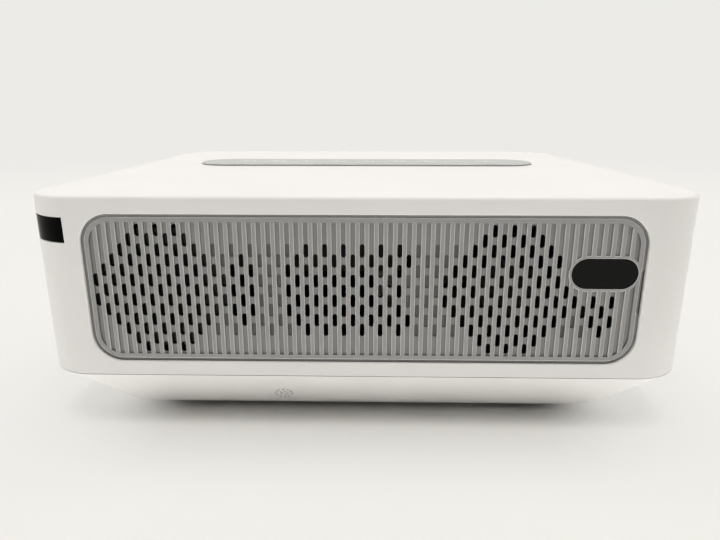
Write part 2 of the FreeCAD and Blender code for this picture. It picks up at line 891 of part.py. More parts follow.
def make_top_cover():
    body = doc.addObject("PartDesign::Body", "Upper")
    pad = body.newObject("PartDesign::Pad", "Pad")
    pad.Profile = outline(body, "XY_Plane", (
        ("-half_width", "-half_depth"),
        ("half_width", "-half_depth"),
        ("half_width", "half_depth"),
        ("-half_width", "half_depth"),
    ))
    bind(pad, Length="upper_height")
    doc.recompute()
    round_edges(body, pad, "corner_radius", lambda edge: edge.BoundBox.ZLength > 1)
    round_edges(body, body.Tip, "edge_round",
                lambda edge: edge.BoundBox.ZMin > number("upper_height") - 0.01)
    put(body, "0", "0", "seam_level")
    shell = cut(body, slab("inner_width", "inner_depth", "upper_height - wall", "inner_corner", "seam_level"))
    bosses = [
        rod("boss_radius", "inner_top - seam_level", f"{a} * boss_x", f"{b} * boss_y", "seam_level")
        for a in (-1, 1)
        for b in (-1, 1)
    ]
    hangers = [
        rod("post_radius", "inner_top - key_board_level - board_thick",
            f"{a} * (key_board_length / 2 - post_inset)", "plate_y", "key_board_level + board_thick")
        for a in (-1, 1)
    ]
    pilots = [
        rod("screw_radius", "screw_length", f"{a} * boss_x", f"{b} * boss_y", "seam_level")
        for a in (-1, 1)
        for b in (-1, 1)
    ]
    key_holes = [
        rod("flange_radius + key_gap", "2 * wall", f"{n} * key_pitch", "plate_y", "case_top - 2 * wall")
        for n in range(-4, 5)
    ]
    through = "3 * wall"
    openings = [
        wall_opening("rear", slab("grille_width", "grille_height", through, "grille_corner")),
        wall_opening("front", slab("front_grille_width", "front_grille_height", through, "small_corner"),
                     "front_grille_x"),
        wall_opening("right", slab("intake_width", "intake_height", through, "small_corner")),
        wall_opening("left", slab("port_width", "port_height", through, "port_corner"),
                     "port_y", "port_level"),
        wall_opening("front", rod("bezel_hole", through), "optics_x", "optics_level"),
        stadium("plate_length + 2 * fit_gap", "plate_width + 2 * fit_gap", "2 * plate_sink",
                y="plate_y", z="plate_level"),
        band_ring("-wall", "wall + fit_gap", "band_bottom", "band_top", "loader_y + panel_half + front_gap",
                  "band_wrap - half_width"),
    ]
    cover = cut(join(shell, *bosses, *hangers), *pilots, *key_holes, *openings)
    keep("top_cover", broken_edges(cover, "rim_chamfer", on_a_rim), "0")


def off_corner(x, y):
    """How far a point lies outside the middle lines of the case's round corners."""
    across = abs(x) - number("half_width - corner_radius")
    along = abs(y) - number("half_depth - corner_radius")
    return math.hypot(across, along) if across > 0 and along > 0 else max(across, along)


def on_a_rim(edge):
    """Whether an edge of the cover borders an opening, on its outside."""
    near = 0.01
    box = edge.BoundBox
    outside = all(
        abs(off_corner(point.x, point.y) - number("corner_radius")) < near for point in edge.discretize(5)
    )
    in_wall = box.ZMin > number("seam_level") + near and box.ZMax < number("case_top - edge_round") - near
    upright = box.ZLength > number("upper_height / 2")
    if outside and in_wall and not upright:
        return True
    in_top = box.ZMin > number("case_top") - near
    plate = number("plate_width / 2 + wall")
    return in_top and abs(box.YMax - number("plate_y")) < plate and abs(box.YMin - number("plate_y")) < plate


def broken_edges(solid, size, wanted):
    """The solid with a small flat along those edges that `wanted` picks."""
    doc.recompute()
    width = number(size)
    flats = doc.addObject("Part::Chamfer", "Rims")
    flats.Base = solid
    flats.Edges = [(n, width, width) for n, edge in enumerate(solid.Shape.Edges, start=1) if wanted(edge)]
    return flats


def round_edges(body, base, radius, wanted):
    """Round those edges of a body's last feature that `wanted` picks."""
    names = [f"Edge{n}" for n, edge in enumerate(base.Shape.Edges, start=1) if wanted(edge)]
    fillet = body.newObject("PartDesign::Fillet", "Round")
    fillet.Base = (base, names)
    bind(fillet, Radius=radius)
    body.Tip = fillet
    doc.recompute()


def funnel(low, high, z_low, z_high):
    """A solid that runs from one rounded rectangle to a wider one above it."""
    sides = doc.addObject("Part::Loft", "Funnel")
    sides.Sections = [corners(*low, z_low), corners(*high, z_high)]
    sides.Solid = True
    sides.Ruled = True
    return sides


def posts():
    """What stands on the floor of the case and carries the pieces inside it."""
    inlet_out = "inside_x - lip_thick - filter_thick - fit_gap - intake_depth / 2"
    speaker_out = "inside_y - lip_thick - speaker_depth / 2"
    pairs = [
        ("exhaust_x", "exhaust_size / 3", "exhaust_depth / 2 - exhaust_y", "0", "exhaust_size"),
        (inlet_out, "0", "0", "intake_size / 3", "intake_size"),
        ("optics_x", "sink_width / 3", "-engine_rear - led_thick - sink_depth / 2", "0", "sink_height"),
        ("speaker_x", "speaker_width / 3", speaker_out, "0", "speaker_height"),
        ("speaker_x", "speaker_width / 3", f"-({speaker_out})", "0", "speaker_height"),
    ]
    return [
        *legs("disc_x + (chassis_u + loader_post_front + chassis_end_u - loader_post_back) / 2", "main_y",
              "chassis_length - loader_post_front - loader_post_back", "main_width + 2 * loader_post_gap",
              "chassis_level", "loader_post"),
        *legs("optics_x", "(engine_front - engine_rear) / 2", "engine_width - 4 * post_inset",
              "engine_front + engine_rear - 4 * post_inset", "engine_level", "post_radius"),
        *legs("main_x", "main_y", "main_length - 2 * post_inset", "main_width - 2 * post_inset", "main_level",
              "post_radius"),
        *legs("power_x", "power_y", "power_length - 2 * post_inset", "power_width - 2 * post_inset",
              "power_level", "post_radius"),
        *[
            rod("post_radius", f"optics_level - {height} / 2 - foot_height", f"{x} + {a} * {apart_x}",
                f"{y} + {a} * {apart_y}", "foot_height")
            for x, apart_x, y, apart_y, height in pairs
            for a in (-1, 1)
        ],
        rod("bush_radius + wall", "bush_length + wall", "0", "bush_y", "foot_height"),
    ]


def make_bottom_cover():
    slope_top = "seam_level - reveal_height"
    sloping = funnel(
        ("lower_width", "lower_depth", "belly_corner"), ("case_width", "case_depth", "corner_radius"),
        "foot_height", slope_top)
    doc.recompute()
    rounds = []
    for n, edge in enumerate(sloping.Shape.Edges, start=1):
        if edge.BoundBox.ZMax < number("foot_height") + 0.01:
            rounds.append((n, number("belly_round"), number("belly_round")))
    belly = doc.addObject("Part::Fillet", "Belly")
    belly.Base = sloping
    belly.Edges = rounds
    reveal = "reveal_depth"
    neck = slab(f"case_width - 2 * {reveal}", f"case_depth - 2 * {reveal}", "reveal_height",
                f"corner_radius - {reveal}", slope_top)
    hollow = funnel(
        ("lower_width - 0.5 * side_skin", "lower_depth - 0.6 * end_skin", "belly_corner - 1"),
        ("case_width - 2 * side_skin", "case_depth - 2 * end_skin", "corner_radius - end_skin"),
        "floor_level", "seam_level")
    above = slab("inner_width - 2 * fit_gap", "inner_depth - 2 * fit_gap", "upper_height",
                 "inner_corner - fit_gap", "seam_level")
    wells = [
        rod("well_radius", "seam_level - foot_height", f"{a} * boss_x", f"{b} * boss_y", "foot_height")
        for a in (-1, 1)
        for b in (-1, 1)
    ]
    outer = join(belly, neck)
    inside = common(join(*posts(), *wells), join(outer, above))
    shell = join(cut(outer, hollow), inside)
    cuts = []
    for a in (-1, 1):
        for b in (-1, 1):
            x = f"{a} * boss_x"
            y = f"{b} * boss_y"
            cuts.append(rod("screw_head_radius + fit_gap", "seam_level - screw_web - foot_height + 1", x, y,
                            "foot_height - 1"))
            cuts.append(rod("screw_radius + fit_gap", "seam_level", x, y, "foot_height"))
            cuts.append(rod("foot_radius", "foot_sink + 1", f"{a} * foot_x", f"{b} * foot_y",
                            "foot_height - 1"))
    cuts.append(rod("bush_radius", "bush_length + 1", "0", "bush_y", "foot_height - 1"))
    slope = math.degrees(math.atan2(number("end_taper"), number("seam_level - foot_height")))
    drills = []
    for ring, count in (("sounder_radius", "sounder_count"), ("sounder_inner", "sounder_middle")):
        for n in range(int(number(count))):
            angle = n * 360 / number(count)
            drills.append(rod("sounder_hole", "6 * wall", f"{ring} * cos({angle})", f"{ring} * sin({angle})",
                              "-3 * wall"))
    port = join(*drills)
    put(port, "-sounder_x", "-half_depth + sounder_share * end_taper",
        "seam_level - sounder_share * (seam_level - foot_height)",
        turn=Rotation(Vector(1, 0, 0), 90 + slope))
    keep("bottom_cover", cut(shell, *cuts, port), "0")


def make_case_trim():
    strip = join(
        band_ring("0", "wall", "band_bottom + fit_gap", "band_top - fit_gap",
                  "loader_y - panel_half - front_gap", "band_wrap - half_width - fit_gap"),
        band_ring("wall", "wall + lip_thick", "band_bottom - lip / 2", "band_top + lip / 2",
                  "loader_y - panel_half - front_gap", "band_wrap - half_width + lip"),
    )
    doc.recompute()
    keep("corner_band", broken_edges(strip, "rim_chamfer", on_a_rim), "0")

    panel = join(
        slab("port_width - 2 * fit_gap", "port_height - 2 * fit_gap", "wall - port_sink",
             "port_corner - fit_gap"),
        slab("port_width + 2 * lip", "port_height + 2 * lip", "lip_thick", "port_corner + lip", "-lip_thick"),
    )
    gap = "2 * socket_gap"
    holes = [
        block(f"{wide} + {gap}", f"{high} + {gap}", "3 * wall", f"port_y - main_y - {along}",
              f"main_top + {high} / 2 - port_level", "-2 * wall")
        for wide, high, along in square_sockets()
    ]
    holes += [
        rod("jack_radius + socket_gap", "3 * wall", f"port_y - main_y - {along}",
            "main_top + jack_radius - port_level", "-2 * wall")
        for along in round_sockets()
    ]
    holes.append(block(f"inlet_width + {gap}", f"inlet_height + {gap}", "3 * wall", "port_y - inlet_y",
                       "inlet_level - port_level", "-2 * wall"))
    plate = cut(panel, *holes)
    keep("port_panel", plate)
    seat(plate, "left", "port_y", "port_level", "inside_x")

    feet = [
        rod("foot_radius", "foot_height + foot_sink", f"{a} * foot_x", f"{b} * foot_y")
        for a in (-1, 1)
        for b in (-1, 1)
    ]
    keep("rubber_feet", group(*feet), "0")

    keep("tripod_bush", turned(
        ("bush_bore", "0"),
        ("bush_radius", "0"),
        ("bush_radius", "bush_length"),
        ("bush_bore", "bush_length"),
    ), "0", "bush_y", "foot_height")

    screws = []
    for a in (-1, 1):
        for b in (-1, 1):
            x = f"{a} * boss_x"
            y = f"{b} * boss_y"
            head_level = "seam_level - screw_web - screw_head_height"
            blank = join(
                rod("screw_head_radius", "screw_head_height", x, y, head_level),
                rod("screw_radius", "screw_length", x, y, "seam_level - screw_web"),
            )
            cross = [
                block(f"{wide} * screw_radius", f"{2.5 - wide} * screw_radius", "screw_head_height / 2", x, y,
                      head_level)
                for wide in (0.5, 2.0)
            ]
            screws.append(cut(blank, *cross))
    keep("case_screws", group(*screws), "0")


def square_sockets():
    """Width, height and place from the middle of the main board of each rectangular socket."""
    kinds = (("video", -2), ("video", -1), ("data", 0))
    return [(f"{kind}_width", f"{kind}_height", f"({n} * socket_pitch)") for kind, n in kinds]


def round_sockets():
    """Places of the two jacks from the middle of the main board."""
    return [f"({n} * socket_pitch)" for n in (1, 2)]


# ------------------------------------------------------------------ keys


def make_keys():
    holes = [
        rod("key_radius + key_gap", "2 * plate_thick", f"{n} * key_pitch", "0", "-1") for n in range(-4, 5)
    ]
    plate = cut(stadium("plate_length", "plate_width", "plate_thick"), *holes)
    top = "plate_thick"
    plate = broken_edges(plate, "rim_chamfer", lambda edge: edge.BoundBox.ZMin > number(top) - 0.01)
    keep("control_plate", plate, "0", "plate_y", "plate_level")
    names = ("power", "source", "left", "up", "enter", "down", "right", "back", "eject")
    for n, name in enumerate(names, start=-4):
        key = turned(
            ("0", "-key_stem"),
            ("key_stem_radius", "-key_stem"),
            ("key_stem_radius", "0"),
            ("flange_radius", "0"),
            ("flange_radius", "key_flange"),
            ("key_radius", "key_flange"),
            ("key_radius", "key_height - rim_chamfer"),
            ("key_radius - rim_chamfer", "key_height"),
            ("0", "key_height"),
        )
        keep(f"{name}_key", key, f"{n} * key_pitch", "plate_y", "flange_level")
    board = block("key_board_length", "key_board_width", "board_thick")
    switches = []
    for n in range(-4, 5):
        x = f"{n} * key_pitch"
        switches.append(block("switch_size", "switch_size", "switch_height", x, "0", "board_thick"))
        switches.append(rod("plunger_radius", "plunger_height", x, "0", "board_thick + switch_height"))
    keep("key_board", join(board, *switches), "0", "plate_y", "key_board_level")


# ------------------------------------------------------------------ disc loader


def gear_outline(teeth, module, offset=0.0):
    """The outline of a spur gear with short involute teeth, thinned for running clearance."""
    thin = number("tooth_thin")
    addendum = 0.85 * module
    dedendum = 1.15 * module
    pitch_radius = module * teeth / 2
    base_radius = pitch_radius * math.cos(math.radians(20))
    root_radius = pitch_radius - dedendum
    start = max(base_radius, root_radius)
    tip = pitch_radius + addendum

    def involute(radius):
        slant = math.acos(min(1.0, base_radius / radius))
        return math.tan(slant) - slant

    half_pitch = math.pi / (2 * teeth) - thin / pitch_radius + involute(pitch_radius)
    flank = [start + (tip - start) * n / 4 for n in range(5)]
    points = []
    for tooth in range(teeth):
        middle = 2 * math.pi * (tooth + offset) / teeth
        rising = [(root_radius, -half_pitch + involute(start))]
        rising += [(radius, -half_pitch + involute(radius)) for radius in flank]
        falling = [(radius, -angle) for radius, angle in reversed(rising)]
        for radius, angle in rising + falling:
            points.append(Vector(radius * math.cos(middle + angle), radius * math.sin(middle + angle), 0))
    return Part.Face(Part.makePolygon(points + points[:1]))


def gear(teeth, module, bore, thickness, level, offset=0.0):
    """A gear of named sizes, standing on a level of its own piece."""
    height = number(thickness)
    disc = gear_outline(int(number(teeth)), number(module), offset).extrude(Vector(0, 0, height))
    item = feature(disc.cut(Part.makeCylinder(number(bore), height)))
    item.Placement = Placement(Vector(0, 0, number(level)), Rotation())
    return item


def rack_shape():
    """The toothed bar under the tray: its teeth face away from the disc side wall."""
    module = number("tray_module")
    pitch = math.pi * module
    thin = number("tooth_thin")
    line = number("rack_line")
    lean = math.tan(math.radians(20))
    tip = line - 0.85 * module
    root = line + 1.15 * module
    tip_half = pitch / 4 - thin - 0.85 * module * lean
    root_half = pitch / 4 - thin + 1.15 * module * lean
    front = number("tray_front_u") + 9
    back = number("tray_back_u") - 2
    gear_place = -number("gear_u")
    first = math.ceil((front + root_half - gear_place) / pitch - 0.5)
    last = math.floor((back - root_half - gear_place) / pitch - 0.5)
    points = [Vector(front, line + number("rack_back"), 0), Vector(front, root, 0)]
    for tooth in range(first, last + 1):
        middle = gear_place + (tooth + 0.5) * pitch
        points.append(Vector(middle - root_half, root, 0))
        points.append(Vector(middle - tip_half, tip, 0))
        points.append(Vector(middle + tip_half, tip, 0))
        points.append(Vector(middle + root_half, root, 0))
    points += [Vector(back, root, 0), Vector(back, line + number("rack_back"), 0)]
    bar = Part.Face(Part.makePolygon(points + points[:1])).extrude(Vector(0, 0, number("rack_height")))
    bar.translate(Vector(0, 0, -number("rack_height")))
    return bar


def loader_piece(name, solid, level, u="0", v="0", turn=None):
    """Keep a piece of the loader, placed from the middle of the disc."""
    return keep(name, solid, f"disc_x + {u}", f"loader_y + {v}", level, turn)


def make_tray():
    plate = span("tray_front_u", "tray_back_u", "-tray_width / 2", "tray_width / 2", "0", "tray_thick")
    well = rod("disc_radius", "2 * disc_sink", z="tray_thick - disc_sink")
    slot = join(
        rod("tray_slot / 2", "3 * tray_thick", z="-tray_thick"),
        span("0", "tray_back_u + 1", "-tray_slot / 2", "tray_slot / 2", "-tray_thick", "2 * tray_thick"),
    )
    inner_disc = rod("2 * disc_radius / 3", "2 * disc_sink", z="tray_thick - disc_sink - 0.8")
    tray = join(cut(plate, well, inner_disc, slot), feature(rack_shape()))
    loader_piece("disc_tray", tray, "tray_bottom")

    tall = "band_top - band_bottom - 2 * front_gap"
    low = "band_bottom + front_gap"
    strip = span("-half_width", "wall - half_width", "loader_y - panel_half", "loader_y + panel_half", low,
                 "band_top - front_gap")
    keep("tray_front", common(strip, slab("case_width", "case_depth", tall, "corner_radius", low)), "0")


def make_chassis():
    height = "chassis_top - chassis_level"
    half = "rail_v + rail_thick"
    floor = span("chassis_u", "chassis_end_u", f"-({half})", half, "0", "chassis_floor")
    walls = []
    for a in (-1, 1):
        side = f"{a} * (rail_v + rail_thick / 2)"
        walls.append(block("chassis_length", "rail_thick", height, "chassis_u + chassis_length / 2", side))
        ledge = f"{a} * (rail_v - ledge_width / 2)"
        for level in ("tray_bottom - ledge_play - ledge_thick", "tray_top + ledge_play"):
            walls.append(block("chassis_length", "ledge_width", "ledge_thick",
                               "chassis_u + chassis_length / 2", ledge, f"{level} - chassis_level"))
    back = span("chassis_end_u - chassis_back", "chassis_end_u", f"-({half})", half, "0", height)
    fence = span("-slider_front", "slider_length - slider_front + cam_travel", "fence_v - rail_thick / 2",
                 "fence_v", "chassis_floor", "chassis_floor + slider_fence")
    pins = [
        rod("axle_radius", "tray_bottom - ledge_play - chassis_level", "-gear_u", "gear_v"),
        rod("axle_shoulder", "wheel_level - gear_clear - chassis_level", "-gear_u", "gear_v"),
        rod("axle_radius", "wheel_level + wheel_thick - chassis_level", "-gear_u", "pinion_v"),
        rod("axle_shoulder", "pulley_level - gear_clear - chassis_level", "-gear_u", "pinion_v"),
    ]
    guides = [
        rod("guide_radius", "chassis_floor + deck_gap + deck_thick + lift + 2", u, v)
        for u, v in guide_places()
    ]
    solid = join(floor, *walls, back, fence, *pins, *guides)
    window = span("10", "deck_length - deck_front - 25", "-pickup_half", "pickup_half",
                  "-1", "chassis_floor + 1")
    shaft = rod("motor_shaft + 0.5", "3 * chassis_floor", "-gear_u", "motor_v", "-chassis_floor")
    loader_piece("loader_chassis", cut(solid, window, shaft), "chassis_level")


def guide_places():
    """Where the upright guides of the lifting deck stand, from the middle of the disc."""
    side = "(deck_width / 2 - guide_inset)"
    return [
        ("guide_inset - deck_front", f"-{side}"),
        ("guide_inset - deck_front", side),
        ("deck_length - deck_front - guide_inset", f"-{side}"),
    ]


def make_clamp():
    strap = block("bridge_width", "chassis_width", "bridge_thick")
    loader_piece("clamp_bridge", cut(strap, rod("bridge_hole", "3 * bridge_thick", z="-bridge_thick")),
                 "chassis_top")
    low = "tray_top + clamp_play - chassis_top"
    clamper = turned(
        ("0", "hub_pocket"),
        ("hub_recess", "hub_pocket"),
        ("hub_recess", "0"),
        ("clamp_radius", "0"),
        ("clamp_radius", "bridge_gap - 2 * clamp_play"),
        ("clamp_neck", "bridge_gap - 2 * clamp_play"),
        ("clamp_neck", f"bridge_thick + clamp_play - ({low})"),
        ("clamp_cap", f"bridge_thick + clamp_play - ({low})"),
        ("clamp_cap", f"bridge_thick + clamp_play + clamp_cap_thick - ({low})"),
        ("0", f"bridge_thick + clamp_play + clamp_cap_thick - ({low})"),
    )
    loader_piece("disc_clamper", clamper, "tray_top + clamp_play")


def make_traverse():
    plate = span("-deck_front", "deck_length - deck_front", "-deck_width / 2", "deck_width / 2",
                 "0", "deck_thick")
    holders = []
    for u in ("rod_start", "rod_end - rod_holder"):
        for v in ("-rod_offset", "rod_offset"):
            holders.append(block("rod_holder", "4 * rod_radius", "rod_rise + rod_radius + 1",
                                 f"{u} + rod_holder / 2", v, "deck_thick"))
    holders.append(block("rod_holder", "2 * feed_motor_radius", "feed_rise + feed_radius + 1",
                         "rod_start + rod_holder / 2", "feed_offset", "deck_thick"))
    pins = [
        rod("pin_radius", "slider_gap + slider_thick + 1", u, "-deck_width / 2 - slider_gap - slider_thick",
            "deck_thick / 2", "y")
        for u in ("pin_near", "pin_far")
    ]
    holes = [
        rod("guide_radius + guide_clear", "3 * deck_thick", u, v, "-deck_thick") for u, v in guide_places()
    ]
    for v in ("-rod_offset", "rod_offset"):
        holes.append(rod("rod_radius", "rod_end - rod_start", "rod_start", v, "deck_thick + rod_rise", "x"))
    holes.append(rod("feed_radius + shaft_clear", "2 * rod_holder", "rod_start - rod_holder / 2",
                     "feed_offset", "deck_thick + feed_rise", "x"))
    window = span("pickup_radius", "rod_end - 2 * rod_holder", "4 * rod_radius - rod_offset",
                  "rod_offset - 4 * rod_radius", "-1", "deck_thick + 1")
    loader_piece("traverse_deck", cut(join(plate, *holders, *pins), *holes, window), "deck_level")

    rods = [
        rod("rod_radius", "rod_end - rod_start", "rod_start", v, axis="x")
        for v in ("-rod_offset", "rod_offset")
    ]
    loader_piece("guide_rods", group(*rods), "deck_top + rod_rise")

    spindle = join(
        rod("spindle_radius", "spindle_height"),
        rod("spindle_shaft", "seat_level - deck_top - 0.5"),
    )
    motor_u = "rod_end + rod_holder / 2"
    feed_motor = rod("feed_motor_radius", "feed_motor_length", motor_u, "feed_offset", "feed_rise", "x")
    cradle = block("feed_motor_length", "feed_motor_radius", "feed_rise - feed_motor_radius / 2",
                   f"{motor_u} + feed_motor_length / 2", "feed_offset")
    loader_piece("traverse_motors", group(spindle, join(feed_motor, cradle)), "deck_top")

    table = turned(
        ("spindle_shaft + shaft_clear", "-turntable_thick"),
        ("turntable_radius", "-turntable_thick"),
        ("turntable_radius", "0"),
        ("hub_radius", "0"),
        ("hub_radius", "hub_height / 2"),
        ("hub_radius / 2", "hub_height"),
        ("0", "hub_height"),
        ("0", "0"),
        ("spindle_shaft + shaft_clear", "0"),
    )
    loader_piece("turntable", table, "seat_level")

    loader_piece("feed_screw", rod("feed_radius", "rod_end - rod_start + rod_holder / 2 - slider_clear",
                                   "rod_start", "feed_offset", axis="x"), "deck_top + feed_rise")

    low = "rod_rise - pickup_drop"
    top = "rod_rise + pickup_rise"
    sled = span("0", "pickup_length", "-pickup_half", "pickup_half", low, top)
    head = block("pickup_length / 2", "pickup_half", "pickup_head", "pickup_length / 3", "0", top)
    lens = rod("pickup_lens", "pickup_lens_rise", "pickup_lead", "0", f"{top} + pickup_head")
    arm = span("pickup_length / 3", "2 * pickup_length / 3", "pickup_half - 1",
               "feed_offset + 2 * feed_radius", low, "feed_rise + feed_radius + 1")
    bores = [
        rod("rod_radius + shaft_clear", "2 * pickup_length", "-pickup_length / 2", v, "rod_rise", "x")
        for v in ("-rod_offset", "rod_offset")
    ]
    bores.append(rod("feed_radius + shaft_clear", "2 * pickup_length", "-pickup_length / 2", "feed_offset",
                     "feed_rise", "x"))
    loader_piece("laser_pickup", cut(join(sled, head, lens, arm), *bores), "deck_top",
                 "pickup_radius - pickup_lead")

    body = span("-slider_front", "slider_length - slider_front", "-slider_thick", "0", "slider_clear",
                "slider_clear + lift + 2 * pin_radius + 4")
    slots = [cam_slot(u) for u in ("pin_near", "pin_far")]
    loader_piece("cam_slider", cut(body, *slots), "floor_top", v="(-deck_width / 2 - slider_gap)")


def cam_slot(u):
    """A slanted slot that lifts a pin as the slider moves along."""
    low = number("deck_gap + deck_thick / 2")
    reach = number("cam_travel")
    rise = number("lift")
    half = number("pin_radius + pin_clear")
    depth = number("3 * slider_thick")
    lean = math.degrees(math.atan2(rise, -reach))
    length = math.hypot(reach, rise)
    bar = Part.makeBox(length, depth, 2 * half, Vector(0, -depth / 2, -half))
    ends = [
        Part.makeCylinder(half, depth, Vector(along, -depth / 2, 0), Vector(0, 1, 0)) for along in (0, length)
    ]
    slot = bar.fuse(ends)
    slot.rotate(Vector(), Vector(0, 1, 0), -lean)
    item = feature(slot)
    place = Placement(Vector(number(u), -number("slider_thick") / 2, low), Rotation())
    item.Placement = place * item.Placement
    return item


def make_loading_drive():
    wheel = join(
        gear("wheel_teeth", "train_module", "axle_radius + shaft_clear", "wheel_thick", "0"),
        gear("tray_teeth", "tray_module", "axle_radius + shaft_clear",
             "tray_bottom - ledge_play - wheel_level - wheel_thick", "wheel_thick"),
    )
    loader_piece("tray_gear", wheel, "wheel_level", "(-gear_u)", "gear_v")

    step = "pulley_groove / 2"
    pulley = join(
        cut(
            turned(
                ("axle_radius", "0"),
                ("pulley_radius + 1", "0"),
                ("pulley_radius", f"pulley_height / 2 - {step}"),
                ("pulley_radius - pulley_groove", f"pulley_height / 2 - {step}"),
                ("pulley_radius - pulley_groove", f"pulley_height / 2 + {step}"),
                ("pulley_radius", f"pulley_height / 2 + {step}"),
                ("pulley_radius + 1", "pulley_height"),
                ("axle_radius", "pulley_height"),
            ),
            rod("axle_radius + shaft_clear", "3 * pulley_height", z="-pulley_height"),
        ),
        gear("pinion_teeth", "train_module", "axle_radius + shaft_clear", "wheel_thick + gear_clear",
             "pulley_height", 0.5),
    )
    loader_piece("pulley_gear", pulley, "pulley_level", "(-gear_u)", "pinion_v")

    small = turned(
        ("motor_shaft", "0"),
        ("motor_pulley_radius + 1", "0"),
        ("motor_pulley_radius", f"pulley_height / 2 - {step}"),
        ("motor_pulley_radius - pulley_groove", f"pulley_height / 2 - {step}"),
        ("motor_pulley_radius - pulley_groove", f"pulley_height / 2 + {step}"),
        ("motor_pulley_radius", f"pulley_height / 2 + {step}"),
        ("motor_pulley_radius + 1", "pulley_height"),
        ("motor_shaft", "pulley_height"),
    )
    loader_piece("motor_pulley", small, "pulley_level", "(-gear_u)", "motor_v")

    motor = join(
        rod("loading_motor_radius", "loading_motor_length", z="-loading_motor_length"),
        rod("motor_shaft - shaft_clear", "chassis_floor + deck_gap + pulley_height"),
    )
    loader_piece("loading_motor", motor, "chassis_level", "(-gear_u)", "motor_v")

    loader_piece("drive_belt", feature(belt_shape()),
                 "pulley_level + (pulley_height - pulley_groove + belt_shy) / 2", "(-gear_u)", "motor_v")


def belt_shape():
    """A square belt round both pulleys, drawn about the motor pulley's axis."""
    size = number("pulley_groove - belt_shy")
    small = number("motor_pulley_radius - pulley_groove + belt_play")
    large = number("pulley_radius - pulley_groove + belt_play")
    inner, outer = [
        Part.Face(belt_loop(small + extra, large + extra, number("belt_span"))).extrude(Vector(0, 0, size))
        for extra in (0, size)
    ]
    return outer.cut(inner)


def belt_loop(small, large, apart):
    """The line of an open belt round two pulleys, `apart` along y."""
    lean = math.asin((large - small) / apart)
    side = Vector(math.cos(lean), -math.sin(lean), 0)
    other = Vector(-side.x, side.y, 0)
    middle = Vector(0, apart, 0)
    edges = [
        Part.Arc(other * small, Vector(0, -small, 0), side * small).toShape(),
        Part.LineSegment(side * small, middle + side * large).toShape(),
        Part.Arc(middle + side * large, middle + Vector(0, large, 0), middle + other * large).toShape(),
        Part.LineSegment(middle + other * large, other * small).toShape(),
    ]
    return Part.Wire(edges)


# ------------------------------------------------------------------ light engine and lens


def engine_piece(name, solid, y="0", turn=None):
    """Keep a piece of the light engine, placed on the optical axis."""
    return keep(name, solid, "optics_x", y, "optics_level", turn)


def make_engine():
    half_width = "engine_width / 2"
    wall = "engine_wall"
    low = "-engine_height / 2"
    high = "engine_height / 2 - lid_thick"
    outer = span(f"-{half_width}", half_width, "-engine_rear", "engine_front", low, high)
    inner = span(f"{wall} - {half_width}", f"{half_width} - {wall}", f"{wall} - engine_rear",
                 f"engine_front - {wall}", f"{low} + {wall}", f"{high} + 1")
    frame = span(f"-{half_width}", half_width,
                 "condenser_y - condenser_rim / 2", "condenser_y + condenser_rim / 2", low, high)
    bores = [
        rod("led_hole", "2 * engine_wall", "0", "-engine_rear - engine_wall / 2", "0", "y"),
        rod("condenser_radius", "3 * condenser_rim", "0", "condenser_y - 1.5 * condenser_rim", "0", "y"),
        rod("barrel_radius + 1", "3 * engine_wall", "0", "engine_front - 1.5 * engine_wall", "0", "y"),
    ]
    engine_piece("engine_housing", cut(join(cut(outer, inner), frame), *bores))
    engine_piece("engine_lid", span(f"-{half_width}", half_width, "-engine_rear", "engine_front", high,
                                    "engine_height / 2"))

    emitter = rod("emitter_radius", "emitter_thick", "0", "led_thick", "0", "y")
    board = span("-led_board / 2", "led_board / 2", "0", "led_thick", "-led_board / 2", "led_board / 2")
    engine_piece("led_module", join(board, emitter), "-engine_rear - led_thick")

    low = "-sink_height / 2"
    base = span("-sink_width / 2", "sink_width / 2", "-sink_base", "0", low, "sink_height / 2")
    gap = "((sink_width - fin_thick) / (fin_count - 1))"
    fins = [
        block("fin_thick", "sink_depth - sink_base", "sink_height",
              f"(fin_thick - sink_width) / 2 + {n} * {gap}", "-(sink_depth + sink_base) / 2", low)
        for n in range(int(number("fin_count")))
    ]
    engine_piece("led_heatsink", join(base, *fins), "-engine_rear - led_thick")

    bulge = turned(
        ("0", "0"),
        ("condenser_radius", "0"),
        ("condenser_radius", "condenser_rim"),
        ("0.8 * condenser_radius", "condenser_rim + 0.45 * condenser_bulge"),
        ("0.5 * condenser_radius", "condenser_rim + 0.8 * condenser_bulge"),
        ("0", "condenser_rim + condenser_bulge"),
    )
    put(bulge, "0", "condenser_y - condenser_rim / 2", "0", turn=ALONG["y"])
    inside = "(engine_width - 2 * engine_wall)"
    sheets = [
        span(f"-{inside} / 2", f"{inside} / 2", y, f"{y} + fresnel_thick", "engine_wall - engine_height / 2",
             "engine_wall - engine_height / 2 + panel_height")
        for y in ("panel_y - panel_thick / 2 - fresnel_gap - fresnel_thick",
                  "panel_y + panel_thick / 2 + fresnel_gap")
    ]
    engine_piece("condenser_and_fresnels", group(bulge, *sheets))
    panel = span(f"-{inside} / 2", f"{inside} / 2", "-panel_thick / 2", "panel_thick / 2",
                 "engine_wall - engine_height / 2", "engine_wall - engine_height / 2 + panel_height")
    engine_piece("display_panel", panel, "panel_y")


